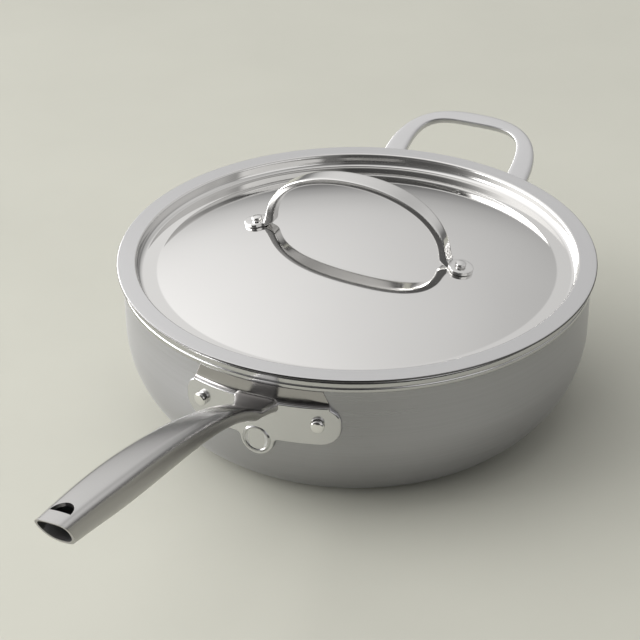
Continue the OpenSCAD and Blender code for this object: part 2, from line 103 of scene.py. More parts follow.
class SautePanLid(bpy.types.PropertyGroup):
    sheet_t: length("Sheet", "Thickness of the lid's sheet", 1.2)
    flange_r: length("Flange radius", "Outer radius of the flange", 147.05)
    flange_edge_r: length("Flange edge", "Radius of the flange's outer edge", 1)
    channel_r: length("Channel radius", "Radius of the channel's outer wall", 134.85)
    channel_w: length("Channel width", "From the channel's wall to the foot of the dome", 12)
    channel_depth: length("Channel depth", "Depth of the channel below the flange", 8)
    bend_r: length("Bend", "Radius of the bend between flange and channel", 1.6)
    corner_r: length("Corner", "Radius of the corner at the bottom of the channel", 3.5)
    dome_foot_w: length("Dome foot", "Half width of the soft corner at the dome's foot", 0.5)
    dome_rise: length("Dome rise", "Height of the dome's top above the flange", 8.8)
    turned: turn("Turned", "How far the lid is turned on the pan", -2.7)


class SautePanLidHandle(bpy.types.PropertyGroup):
    rivet_gap: length("Rivet gap", "Distance between the two rivets", 137)
    foot_r: length("Foot radius", "Radius of the round foot at each end", 8)
    foot_t: length("Foot thickness", "Thickness of the feet", 2.6)
    span: length("Span", "Width across the two legs", 118)
    over_dome: length("Height", "Height of the arch above the top of the dome", 41.2)
    strap_w: length("Strap width", "Width of the strap at the top of the arch", 13)
    root_w: length("Root width", "Width of the strap at the feet", 8)
    strap_t: length("Strap thickness", "Thickness of the strap", 3)
    power: number("Squareness", "2 makes the arch an ellipse, and more makes it squarer", 2.1)


class SautePanPlates(bpy.types.PropertyGroup):
    height: length("Height", "Height of both handles' plates", 25)
    top: length("Top edge", "Height of the plates' top edge", 78.5)
    thickness: length("Thickness", "Thickness of the plates at the middle", 3.4)
    front_r: length("Front radius", "Radius of the plates' front faces", 125)
    corner_r: length("Corner radius", "Radius of the plates' corners", 11)
    edge_r: length("Edge radius", "Rounding of the plates' front edges", 0.9)
    width: length("Width", "Width of the long handle's plate", 96)
    roundel_r: length("Roundel radius", "Radius of the plain roundel", 8.7)
    roundel_rim: length("Roundel rim", "Width of metal round the roundel", 1.8)
    roundel_up: length("Roundel height", "Height of the roundel's centre above the lower edge", -1.6)
    cove_h: length("Cove height", "Height of the hollow from the plate up to the lip", 9.5)
    cove_top_w: length("Cove top width", "Width of the hollow at its top", 76)
    cove_edge_t: length("Cove edge", "Thickness of the hollow's top edge", 0.5)


class SautePanLongHandle(bpy.types.PropertyGroup):
    tip_x: length("Tip distance", "From the pan's axis to the tip", 361.5)
    tip_z: length("Tip height", "Height of the tip's top edge", 143)
    neck_out: length("Neck start", "From the plate's front to the start of the grip's line", 10)
    neck_up: length("Neck rise", "Height of that start above the plate's top edge", 1.5)
    neck_slope: turn("Neck slope", "Slope at which the neck leaves the plate", 35)
    neck_pull: share("Neck pull", "How long the line keeps the neck's slope", 0.28)
    tip_slope: turn("Tip slope", "Slope of the grip at its tip", 6.5)
    tip_pull: share("Tip pull", "How long the line keeps the tip's slope", 0.38)
    neck_w: length("Neck half width", "Half the width of the neck", 5.8)
    neck_t: length("Neck thickness", "Thickness of the neck", 7.4)
    grip_w: length("Grip half width", "Half the width of the grip at its fullest", 10.7)
    grip_t: length("Grip thickness", "Thickness of the grip at its fullest", 21)
    peak: share("Fullest at", "Where the grip is fullest", 0.72)
    tip_w: length("Tip half width", "Half the width of the grip at its tip", 8.2)
    tip_t: length("Tip thickness", "Thickness of the grip at its tip", 17)
    wall: length("Wall", "Wall of the hollow grip", 1.9)
    hollow_l: length("Hollow length", "Length of the hollow inside the grip", 150)
    tip_cut: turn("Tip cut", "How far the open end is cut back from square", 30)
    hang_w: length("Hole width", "Width of the hanging hole", 11)
    hang_l: length("Hole length", "Length of the hanging hole", 8.8)
    hang_from_tip: length("Hole place", "From the tip to the hole's straight side", 10.5)


class SautePanHelper(bpy.types.PropertyGroup):
    loop_w: length("Loop width", "Width of the loop across its legs", 106)
    loop_l: length("Loop reach", "Reach of the loop along its slope", 65.5)
    leg_w: length("Leg width", "Width of the loop's legs", 15)
    bow_w: length("Bow width", "Width of the loop at its far end", 9.5)
    loop_t: length("Thickness", "Thickness of the loop", 4.8)
    slope: turn("Slope", "Slope at which the loop rises", 22.2)
    turned: turn("Turned", "How far the loop sits off the long handle's line", -1.7)
    plate_past: length("Plate past legs", "How far the plate reaches past each leg", 2)
    outer_power: number("Outer squareness", "How square the loop's outer edge is", 2.6)
    inner_power: number("Inner squareness", "How square the opening is", 4)


class SautePanRivets(bpy.types.PropertyGroup):
    long_gap: length("Long handle gap", "Distance between the long handle's rivets", 70.4)
    helper_gap: length("Helper gap", "Distance between the helper handle's rivets", 62)
    down: length("Below top edge", "Height of the rivets below the plates' top edge", 11)
    head_r: length("Head radius", "Radius of an outer head", 4)
    head_h: length("Head height", "Height of an outer head", 4)
    inner_r: length("Inner head radius", "Radius of the flat head inside the pan", 6.5)
    inner_h: length("Inner head height", "Height of the flat head inside the pan", 1.6)
    inner_gap: length("Inner head gap", "Gap between a flat head and the sheet", 0.1)
    lid_head_r: length("Lid head radius", "Radius of a lid rivet's head", 3.3)
    lid_head_h: length("Lid head height", "Height of a lid rivet's head", 2.6)


class SautePanFinish(bpy.types.PropertyGroup):
    steel: colour("Steel", "Colour of the polished steel", (0.79, 0.785, 0.775))
    wall_steel: colour("Wall steel", "Colour of the brushed wall", (0.47, 0.47, 0.49))
    liner_steel: colour("Liner steel", "Colour of the cooking surface", (0.64, 0.63, 0.62))
    lip_steel: colour("Lip steel", "Colour of the lip and the plates' edges", (0.56, 0.56, 0.565))
    # Painted shade: the flange's outer edge is near black, standing for the shadow in the gap over the lip
    rim_shade_steel: colour("Rim steel", "Colour of the flange's sheared edge", (0.15, 0.147, 0.145))
    # Painted shade: a dark steel that darkens the cove, the grip's flanks and root, and the flange's
    # underside
    painted_shade_steel: colour("Painted shade steel", "Colour of the cove and the grip's flanks", (0.40, 0.39, 0.385))
    loop_steel: colour("Helper steel", "Colour of the helper handle's loop", (0.625, 0.625, 0.63))
    grip_steel: colour("Grip steel", "Colour of the grip's top", (0.67, 0.665, 0.655))
    satin: colour("Satin steel", "Colour of the satin faces", (0.685, 0.685, 0.69))
    plate_steel: colour("Plate steel", "Colour of the plates' faces", (0.64, 0.64, 0.645))
    alloy: colour("Aluminium", "Colour of the core", (0.72, 0.73, 0.75))
    wall_rough: share("Wall roughness", "How matt the brushed wall is", 0.30)
    satin_rough: share("Satin roughness", "How matt the satin faces are", 0.36)
    dome_rough: share("Dome roughness", "How matt the dome is", 0.045)
    brushing: number("Brushing", "Brush lines to a metre", 1500)


class SautePanStudio(bpy.types.PropertyGroup):
    floor: colour("Floor", "Colour of the floor", (0.56, 0.56, 0.497))
    floor_front: length("Floor front", "How far the near floor reaches towards the camera", 400)
    key: number("Key light", "Power of the large soft light in watts", 11)
    top: number("Top light", "Power of the soft light overhead in watts", 5)
    fill: number("Front light", "Power of the weak light from the front in watts", 4.5)
    window: number("Window", "Strength of the window on the camera's right", 0.33)
    card: number("Card", "Strength of the pale card low down on the left", 4.5)
    world: number("World", "Strength of the surrounding light", 1)
    camera_x: length("Camera X", "Place of the camera along X", 929.1)
    camera_y: length("Camera Y", "Place of the camera along Y", 386.8)
    camera_z: length("Camera Z", "Height of the camera", 654.7)
    tilt: turn("Tilt", "Tilt of the camera up from straight down", 58.945)
    roll: turn("Roll", "Roll of the camera", 0.505)
    pan: turn("Pan", "Turn of the camera about the upright", 113.602)
    lens: FloatProperty(name="Lens", description="Focal length on a 36 mm sensor", default=105.15,
                        unit="CAMERA")


def sizes():
    return bpy.context.scene.saute_pan


def clamp(x):
    return min(1.0, max(0.0, x))


def ease(x, a, b):
    """0 up to a, 1 from b on, and smooth between them."""
    s = clamp((x - a) / (b - a))
    return s * s * (3 - 2 * s)


def spow(x, p):
    """A power that keeps the sign."""
    return math.copysign(abs(x) ** p, x)


def point(x, z):
    return Vector((x, 0, z))


def arc(cx, cz, r, a0, a1, steps):
    """Points on an arc in the XZ plane, from angle a0 to angle a1 in degrees."""
    angles = [math.radians(a0 + (a1 - a0) * i / steps) for i in range(steps + 1)]
    return [point(cx + r * math.cos(a), cz + r * math.sin(a)) for a in angles]


def add_object(name, data):
    thing = bpy.data.objects.new(name, data)
    bpy.context.scene.collection.objects.link(thing)
    return thing


def mesh_object(bm, name):
    mesh = bpy.data.meshes.new(name)
    bm.to_mesh(mesh)
    bm.free()
    return add_object(name, mesh)


def finish_piece(bm, name, body, slot, node, *finishes):
    """Turns a bmesh into a piece that rides on a body, stands for a node and wears its finishes."""
    bmesh.ops.recalc_face_normals(bm, faces=bm.faces)
    for f in bm.faces:
        f.smooth = True
    piece = mesh_object(bm, name)
    for finish in finishes:
        piece.data.materials.append(finish)
    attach(piece, body)
    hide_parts(node)
    return piece


def add_modifier(piece, kind, **settings):
    m = piece.modifiers.new(kind.title(), kind)
    for key, value in settings.items():
        setattr(m, key, value)


def even_shading(piece):
    add_modifier(piece, "WEIGHTED_NORMAL", keep_sharp=True)


def round_edges(piece, width, sharper_than):
    """Rounds the edges that are sharper than an angle in degrees."""
    add_modifier(piece, "BEVEL", width=width, segments=3, limit_method="ANGLE",
                 angle_limit=math.radians(sharper_than))


def wear(bm, index, test):
    """Gives finish number index to each face whose centre passes the test."""
    for f in bm.faces:
        if test(f.calc_center_median()):
            f.material_index = index


def spin_profile(points, steps=ROUND_STEPS):
    """A bmesh of a profile in the XZ plane, spun once round the Z axis."""
    bm = bmesh.new()
    verts = [bm.verts.new(p) for p in points]
    edges = [bm.edges.new(pair) for pair in zip(verts, verts[1:])]
    bmesh.ops.spin(bm, geom=verts + edges, cent=(0, 0, 0), axis=UP, dvec=(0, 0, 0), angle=math.tau,
                   steps=steps, use_merge=True, use_duplicate=False)
    bmesh.ops.remove_doubles(bm, verts=bm.verts, dist=WELD)
    bmesh.ops.dissolve_degenerate(bm, edges=bm.edges, dist=FINE_WELD)
    return bm


def skin_tube(rows, columns, place):
    """A bmesh of a tube with closed ends: place(u, v) gives each point, with u along it and v round it."""
    bm = bmesh.new()
    made = bmesh.ops.create_grid(bm, x_segments=rows, y_segments=columns, size=0.5)["verts"]
    for v in made:
        v.co = place(v.co.x + 0.5, v.co.y + 0.5)
    bmesh.ops.remove_doubles(bm, verts=made, dist=FINE_WELD)
    bmesh.ops.holes_fill(bm, edges=[e for e in bm.edges if e.is_boundary], sides=0)
    return bm


def push_out(bm, faces):
    """Extrudes faces and gives the new vertices, which haven't moved yet."""
    made = bmesh.ops.extrude_face_region(bm, geom=faces)["geom"]
    return [g for g in made if isinstance(g, bmesh.types.BMVert)]


def move(bm, matrix):
    bmesh.ops.transform(bm, matrix=matrix, verts=bm.verts)


def moved(x, y, z):
    return Matrix.Translation((x, y, z))


def turned_about(axis, angle):
    return Matrix.Rotation(angle, 4, axis)


# Curves that several pieces share

def pan_curve(b, d, top):
    """The pan's outer curve moved inward by d, from the axis up to the height top."""
    flat_steps, heel_steps, bulge_steps, wall_steps = 12, 12, 28, 4
    heel = math.asin((b.bulge_r - (b.wall_r - b.base_r)) / (b.bulge_r - b.heel_r))
    bulge_z = b.heel_r * (1 - math.cos(heel)) + b.bulge_r * math.cos(heel)
    a = math.degrees(heel) - 90
    curve = [point(b.base_r * k / flat_steps, d) for k in range(flat_steps)]
    curve += arc(b.base_r, b.heel_r, b.heel_r - d, -90, a, heel_steps)
    curve += arc(b.wall_r - b.bulge_r, bulge_z, b.bulge_r - d, a, 0, bulge_steps)[1:]
    last = curve[-1].z
    for k in range(1, wall_steps + 1):
        curve.append(point(b.wall_r - d, last + (top - last) * k / wall_steps))
    return curve


def layers_t(b):
    """Thickness of the whole wall."""
    return b.skin_t + b.core_t + b.liner_t


def flange_top(s):
    return s.body.height + s.lid.sheet_t


def dome_sphere(lid):
    """Radius of the sphere that the dome's top face is part of."""
    foot_r = lid.channel_r - lid.channel_w
    rise = lid.dome_rise + lid.channel_depth
    return (foot_r ** 2 + rise ** 2) / (2 * rise)


def dome_height(s, r):
    """Height of the dome's top face at a radius."""
    sphere = dome_sphere(s.lid)
    return flange_top(s) + s.lid.dome_rise - sphere + math.sqrt(sphere ** 2 - r ** 2)


def dome_slope(s, r):
    return math.asin(r / dome_sphere(s.lid))


def plate_axis(s):
    """X of the upright axis that a plate's front face curves about."""
    return s.body.wall_r + s.plates.thickness - s.plates.front_r


def plate_front_x(s, y):
    return plate_axis(s) + math.sqrt(s.plates.front_r ** 2 - y * y)


def wall_x(s, y):
    return math.sqrt(s.body.wall_r ** 2 - y * y)


# Finishes

class Wiring:
    """Adds nodes to a node tree. What feeds an input is a plain value or another node's output."""

    def __init__(self, tree):
        self.nodes, self.links = tree.nodes, tree.links

    def feed(self, socket, value):
        if isinstance(value, bpy.types.NodeSocket):
            self.links.new(value, socket)
        else:
            socket.default_value = (*value, 1) if socket.type == "RGBA" else value

    def node(self, kind, inputs=(), **settings):
        """Adds a node and gives its outputs. Its inputs are fed by name or by number."""
        n = self.nodes.new(kind)
        for key, value in settings.items():
            setattr(n, key, value)
        for key, value in dict(inputs).items():
            self.feed(n.inputs[key], value)
        return n.outputs

    def coordinates(self, kind):
        return self.node("ShaderNodeTexCoord")[kind]

    def split(self, vector):
        return self.node("ShaderNodeSeparateXYZ", {0: vector})

    def math(self, operation, *inputs):
        return self.node("ShaderNodeMath", enumerate(inputs), operation=operation)[0]

    def product(self, first, *others):
        for other in others:
            first = self.math("MULTIPLY", first, other)
        return first

    def ranged(self, value, low, high):
        """A value from 0 to 1 brought to the range from low to high."""
        return self.node("ShaderNodeMapRange", {"Value": value, "To Min": low, "To Max": high})["Result"]

    def step(self, value, low, high):
        """0 up to low, 1 from high on, and smooth between them."""
        return self.node("ShaderNodeMapRange", {"Value": value, "From Min": low, "From Max": high},
                         interpolation_type="SMOOTHSTEP")["Result"]

    def noise(self, vector, scale, detail, roughness=0.5):
        return self.node("ShaderNodeTexNoise", {"Vector": vector, "Scale": scale, "Detail": detail,
                                                "Roughness": roughness})["Fac"]

    def mix(self, fac, first, second):
        """The first colour where fac is 0 and the second where it is 1."""
        return self.node("ShaderNodeMix", {0: fac, 6: first, 7: second}, data_type="RGBA")[2]


def new_material(name, rgb, roughness, metallic=1.0):
    """A new material, the wiring of its tree and its shader's inputs."""
    m = bpy.data.materials.new(name)
    m.use_nodes = True
    wires, shader = Wiring(m.node_tree), m.node_tree.nodes["Principled BSDF"].inputs
    wires.feed(shader["Base Color"], rgb)
    wires.feed(shader["Roughness"], roughness)
    wires.feed(shader["Metallic"], metallic)
    return m, wires, shader


def add_bump(wires, shader, height, distance):
    bump = wires.node("ShaderNodeBump", {"Height": height, "Distance": distance, "Strength": 1.0})
    wires.feed(shader["Normal"], bump[0])


def tinted(wires, shader, rgb, fac, depth):
    """Lets the colour vary a little with fac, from darker to the full colour."""
    wires.feed(shader["Base Color"], wires.mix(fac, [c * (1 - depth) for c in rgb], rgb))


def buffing(wires, coord):
    """Fine buffing marks and a slow waviness."""
    return wires.noise(coord, scale=260, detail=3, roughness=0.6), wires.noise(coord, scale=14, detail=2)


def brushed_round(name, rgb, rough, lines, radial, upright, relief, anisotropy, depth=0.10):
    """Steel brushed in circles round the pan's axis; radial and upright scale the lines to a metre."""
    m, wires, shader = new_material(name, rgb, rough)
    # The lines change slowly along their run
    along = 6
    coord = wires.coordinates("Object")
    x, y, z = wires.split(coord)
    r = wires.math("SQRT", wires.math("ADD", wires.product(x, x), wires.product(y, y)))
    across = wires.math("ADD", wires.product(r, radial * lines), wires.product(z, upright * lines))
    vector = wires.node("ShaderNodeCombineXYZ",
                        {0: wires.product(x, along), 1: wires.product(y, along), 2: across})[0]
    fine = wires.noise(vector, scale=1, detail=3, roughness=0.7)
    broad = wires.noise(coord, scale=9, detail=2)
    tinted(wires, shader, rgb, fine, depth)
    wires.feed(shader["Roughness"], wires.math("ADD", wires.ranged(fine, rough - 0.07, rough + 0.07),
                                               wires.ranged(broad, -0.03, 0.03)))
    add_bump(wires, shader, fine, relief * MM)
    wires.feed(shader["Anisotropic"], anisotropy)
    wires.feed(shader["Anisotropic Rotation"], 0.25)
    wires.feed(shader["Tangent"], wires.node("ShaderNodeTangent", direction_type="RADIAL", axis="Z")[0])
    return m


def polished(name, rgb, rough, wave, grain):
    """Polished steel with faint buffing marks and a slow waviness, whose heights are in millimetres."""
    m, wires, shader = new_material(name, rgb, rough)
    marks, slow = buffing(wires, wires.coordinates("Object"))
    wires.feed(shader["Roughness"], wires.ranged(marks, rough * 0.7, rough * 1.4))
    tinted(wires, shader, rgb, slow, depth=0.05)
    add_bump(wires, shader, wires.math("ADD", wires.product(marks, grain), wires.product(slow, wave)), MM)
    return m


def flanked(name, rgb, rough, flank_shade_rgb, flank_rough, root_shade_x):
    """Polished steel where a face looks up and duller on the flanks; painted shade darkens the flanks, and
    the root up to a given x.
    """
    m, wires, shader = new_material(name, rgb, rough)
    up = wires.step(wires.split(wires.coordinates("Normal"))[2], low=0.25, high=0.85)
    coord = wires.coordinates("Object")
    marks, slow = buffing(wires, coord)
    fade = 7 * MM
    past_root_shade = wires.step(wires.split(coord)[0], root_shade_x, root_shade_x + fade)
    # Painted shade: the flanks and the root take the darker colour, the faces that look up the full one
    wires.feed(shader["Base Color"], wires.mix(past_root_shade, flank_shade_rgb, wires.mix(up, flank_shade_rgb, rgb)))
    wires.feed(shader["Roughness"], wires.math("ADD", wires.ranged(up, flank_rough, rough),
                                               wires.ranged(marks, -0.04, 0.05)))
    add_bump(wires, shader, wires.math("MULTIPLY_ADD", slow, 3, marks), 0.002 * MM)
    return m


def satin(name, rgb, rough, stretch, relief=0.012):
    """Satin steel with fine grain, where stretch is the grains to a metre along X, Y and Z."""
    m, wires, shader = new_material(name, rgb, rough)
    coord = wires.coordinates("Object")
    grain = wires.noise(wires.node("ShaderNodeMapping", {"Vector": coord, "Scale": stretch})[0],
                        scale=1, detail=3, roughness=0.65)
    wires.feed(shader["Roughness"], wires.ranged(grain, rough - 0.06, rough + 0.08))
    tinted(wires, shader, rgb, wires.noise(coord, scale=30, detail=2), depth=0.06)
    add_bump(wires, shader, grain, relief * MM)
    return m


def finish_list(s):
    """What makes each finish, its material's name, colour and roughness, and its other settings."""
    f = s.finish
    bowl = {"lines": f.brushing, "radial": -0.7, "upright": 1}
    flat = {"lines": f.brushing * 1.4, "radial": 1, "upright": 0.2}
    plain, buffed = {"wave": 0.0, "grain": 0.001}, {"wave": 0.002, "grain": 0.001}
    return {
        "wall": (brushed_round, "wall_brushed_steel", f.wall_steel, f.wall_rough,
                 {**bowl, "relief": 0.009, "anisotropy": 0.85, "depth": 0.2}),
        "lip": (polished, "lip_polished_steel", f.lip_steel, 0.17, plain),
        # The flange's underside wears the dark steel as painted shade
        "under": (satin, "flange_underside_steel", f.painted_shade_steel, f.satin_rough, {"stretch": (500, 500, 500)}),
        # The flange's outer edge is painted near black as the shadow in the gap over the lip
        "rim": (polished, "flange_rim_steel", f.rim_shade_steel, 0.18, plain),
        # The cove wears the dark steel as painted shade
        "cove": (polished, "cove_polished_steel", f.painted_shade_steel, 0.16, buffed),
        "hollow": (satin, "hollow_cast_steel", f.satin, 0.5, {"stretch": (300, 300, 300)}),
        "liner": (brushed_round, "liner_brushed_steel", f.liner_steel, 0.30,
                  {**bowl, "relief": 0.008, "anisotropy": 0.6}),
        "core": (satin, "core_aluminium", f.alloy, 0.4, {"stretch": (40, 40, 900)}),
        "flange": (brushed_round, "flange_satin_steel", f.satin, f.satin_rough,
                   {**flat, "relief": 0.006, "anisotropy": 0.35, "depth": 0.06}),
        "channel": (polished, "channel_polished_steel", f.steel, 0.05, {"wave": 0.0, "grain": 0.0006}),
        "dome": (polished, "dome_mirror_steel", f.steel, f.dome_rough, {"wave": 0.004, "grain": 0.0005}),
        # The grip's flanks and root wear painted shade
        "grip": (flanked, "grip_polished_steel", f.grip_steel, 0.15,
                 {"flank_shade_rgb": f.painted_shade_steel, "flank_rough": 0.30,
                  "root_shade_x": s.body.wall_r + s.plates.thickness}),
        "plate": (satin, "plate_satin_steel", f.plate_steel, 0.22,
                  {"stretch": (500, 120, 900), "relief": 0.003}),
        "edge": (polished, "edge_polished_steel", f.lip_steel, 0.14, plain),
        "loop": (satin, "loop_satin_steel", f.loop_steel, 0.30, {"stretch": (60, 500, 500)}),
        "arch": (polished, "arch_polished_steel", f.steel, 0.10, {"wave": 0.003, "grain": 0.001}),
        "rivet": (polished, "rivet_polished_steel", f.steel, 0.12, {"wave": 0.0, "grain": 0.002}),
    }


def materials():
    """The finishes by their short names. The first piece makes them, and the others find them made."""
    return {key: bpy.data.materials.get(name) or make(name, rgb, rough, **settings)
            for key, (make, name, rgb, rough, settings) in finish_list(sizes()).items()}


class SAUTEPAN_OT_body(bpy.types.Operator):
    """Builds the pan's outer shell with its lip, its core and its cooking surface"""
    bl_idname = "saute_pan.body"
    bl_label = "Pan Body"

    def execute(self, context):
        s, look = sizes(), materials()
        self.outer_shell(s.body, look)
        self.liner(s.body, look)
        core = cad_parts["aluminium_core"]
        core.data.materials.clear()
        core.data.materials.append(look["core"])
        return {"FINISHED"}

    def outer_shell(self, b, look):
        lip_r, rim_in = b.wall_r + b.lip_out, b.wall_r - layers_t(b)
        start = b.height - b.lip_h
        cove_top = start + b.lip_cove_h
        outer = pan_curve(b, 0, start)[:-1]
        # A low bead, a fine groove, and the rolled edge above them: millimetres up, and share of the reach
        bead = ((0.2, 0.1), (0.45, 0.55), (0.9, 0.85), (1.8, 1), (2.8, 1), (3.3, 0.9), (3.6, 0.65),
                (3.8, 0.62), (4.05, 0.9), (4.5, 1))
        outer += [point(b.wall_r + b.lip_out * out, start + up * MM) for up, out in bead]
        shoulder, rim = b.lip_shoulder_r, b.rim_inner_r
        outer += arc(lip_r - shoulder, b.height - shoulder, shoulder, 0, 90, steps=10)
        outer += arc(rim_in + rim, b.height - rim, rim, 90, 180, steps=6)
        outer += [point(rim_in, cove_top), point(b.wall_r - b.skin_t, cove_top)]
        bm = spin_profile(outer + pan_curve(b, b.skin_t, start)[::-1])
        # The lip's finish starts at the foot of the bead
        wear(bm, 1, lambda c: c.z > start + bead[0][0] * MM)
        even_shading(finish_piece(bm, "pan_outer_shell", PAN, "shell_steel", "outer_shell", look["wall"],
                                  look["lip"]))

    def liner(self, b, look):
        top = b.height - b.lip_h + b.lip_cove_h
        outside, inside = pan_curve(b, b.skin_t + b.core_t, top), pan_curve(b, layers_t(b), top)
        finish_piece(spin_profile(outside + inside[::-1]), "pan_cooking_surface", PAN, "liner_steel",
                     "cooking_liner", look["liner"])


class SAUTEPAN_OT_lid(bpy.types.Operator):
    """Builds the lid: satin flange, polished channel and mirror dome"""
    bl_idname = "saute_pan.lid"
    bl_label = "Lid"

    def execute(self, context):
        s, look = sizes(), materials()
        lid, flange_z = s.lid, flange_top(s)
        top = self.top_line(s)
        flange_in, flange_out = lid.channel_r + lid.bend_r, lid.flange_r - lid.flange_edge_r
        edge = arc(flange_out, flange_z - lid.flange_edge_r, lid.flange_edge_r, 90, 0, steps=8)
        edge.append(point(lid.flange_r - lid.sheet_t + lid.flange_edge_r, s.body.height))
        bm = spin_profile(top + edge + self.under_line(lid, top)[::-1])
        # The satin finish reaches a little over the bend
        flange_from = flange_in - 0.3 * MM
        wear(bm, 1, lambda c: c.to_2d().length > lid.channel_r - lid.channel_w)
        wear(bm, 2, lambda c: c.to_2d().length > flange_from)
        # Painted shade: the flange's underside takes the dark steel
        wear(bm, 3, lambda c: c.to_2d().length > flange_from and c.z < flange_z - 0.9 * lid.sheet_t)
        # Painted shade: the flange's outer edge is near black for the shadow in the gap over the lip
        wear(bm, 4, lambda c: c.to_2d().length > flange_out + 0.5 * lid.flange_edge_r)
        even_shading(finish_piece(bm, "lid_pressed_shell", LID, "lid_steel", "lid_shell", look["dome"],
                                  look["channel"], look["flange"], look["under"], look["rim"]))
        return {"FINISHED"}

    def top_line(self, s):
        """The lid's top face from the axis out: dome, its soft foot, channel, bend and flange."""
        lid, flange_z = s.lid, flange_top(s)
        dome_steps, foot_steps, corner_steps, bend_steps, flange_steps = 36, 8, 12, 10, 4
        floor_z = flange_z - lid.channel_depth
        inner = lid.channel_r - lid.channel_w - lid.dome_foot_w
        # One more ring close to the foot keeps the dome's shading true
        close = 0.3 * MM
        radii = [inner * k / dome_steps for k in range(dome_steps)] + [inner - close, inner]
        top = [point(r, dome_height(s, r)) for r in radii]
        drop = top[-1].z - floor_z
        for k in range(1, foot_steps + 1):
            f = k / foot_steps
            top.append(point(inner + 2 * lid.dome_foot_w * k / foot_steps, floor_z + drop * (1 - f) ** 2))
        top += arc(lid.channel_r - lid.corner_r, floor_z + lid.corner_r, lid.corner_r, -90, 0, corner_steps)
        top += arc(lid.channel_r + lid.bend_r, flange_z - lid.bend_r, lid.bend_r, 180, 90, bend_steps)
        flange_in = lid.channel_r + lid.bend_r
        flange_w = lid.flange_r - lid.flange_edge_r - flange_in
        for k in range(1, flange_steps):
            top.append(point(flange_in + flange_w * k / flange_steps, flange_z))
        return top

    def under_line(self, lid, top):
        """The lid's lower face, a sheet's thickness from its top face."""
        under = []
        for k, p in enumerate(top):
            along = top[min(k + 1, len(top) - 1)] - top[max(k - 1, 0)]
            under.append(p + Vector((along.z, 0, -along.x)).normalized() * lid.sheet_t)
        under[0] = point(0, top[0].z - lid.sheet_t)
        return under


def rounded_corners(width, height, corner):
    """A rounded rectangle in the YZ plane that stands on z = 0, from its lower right corner round."""
    w, high = width / 2 - corner, height - corner
    ring = []
    for cy, cz, a in ((w, corner, -90), (w, high, 0), (-w, high, 90), (-w, corner, 180)):
        ring += [(q.x, q.z) for q in arc(cy, cz, corner, a, a + 90, steps=14)]
    return ring


def round_lobe(r, cz, fillet):
    """A round lobe that hangs below z = 0 with a fillet at each side, from left to right."""
    side = math.sqrt((r + fillet) ** 2 - (cz + fillet) ** 2)
    lean = math.degrees(math.atan2(-fillet - cz, side))
    left = arc(-side, -fillet, fillet, 90, -lean, steps=6)
    bottom = arc(0, cz, r, 180 - lean, 360 + lean, steps=24)
    right = arc(side, -fillet, fillet, 180 + lean, 90, steps=6)
    return [(q.x, q.z) for q in left + bottom[1:-1] + right]


def plate_outline(s, width, long):
    """A plate's outline from the front; the long handle's has the roundel's lobe and the cove's sides."""
    p = s.plates
    bottom = p.top - p.height
    ring = [(y, bottom + z) for y, z in rounded_corners(width, p.height, p.corner_r)]
    if not long:
        return ring
    lobe = round_lobe(p.roundel_r + p.roundel_rim, p.roundel_up, fillet=3 * MM)
    lobe = [(y, bottom + z) for y, z in lobe]
    # The cove's slanted sides leave the plate's top corners at 60 degrees round them
    corner_in, corner_down = p.corner_r * 0.5, p.corner_r * 0.134
    cove = [(width / 2 - corner_in, p.top - corner_down), (p.cove_top_w / 2, p.top + p.cove_h)]
    cove += [(-y, z) for y, z in reversed(cove)]
    half = len(ring) // 2
    right, left = ([q for q in part if q[1] < cove[0][1] - WELD] for part in (ring[:half], ring[half:]))
    return right + cove + left + lobe


def cove_front(s, z):
    """How far the cove's surface lies behind the plate's front at a height above the top edge."""
    p = s.plates
    across = p.thickness - p.cove_edge_t - p.edge_r
    up = clamp((z - p.top) / p.cove_h)
    return p.edge_r + across * math.sqrt(1 - (1 - up) ** 2)


def plate_fall(s, z):
    """How far the plate's top edge, and the cove above it, lie behind the plate's front."""
    p = s.plates
    if z >= p.top:
        return cove_front(s, z)
    up = max(0.0, z - p.top + p.edge_r)
    return p.edge_r - math.sqrt(p.edge_r ** 2 - up * up)


def edge_distance(q, ring, limit):
    """How far a point lies from an outline, at most the limit."""
    best = limit
    for c, d in zip(ring, ring[1:] + ring[:1]):
        if min(c.x, d.x) - best > q.x or max(c.x, d.x) + best < q.x:
            continue
        if min(c.y, d.y) - best > q.y or max(c.y, d.y) + best < q.y:
            continue
        along = d - c
        f = clamp((q - c).dot(along) / along.length_squared)
        best = min(best, (q - c - along * f).length)
    return best


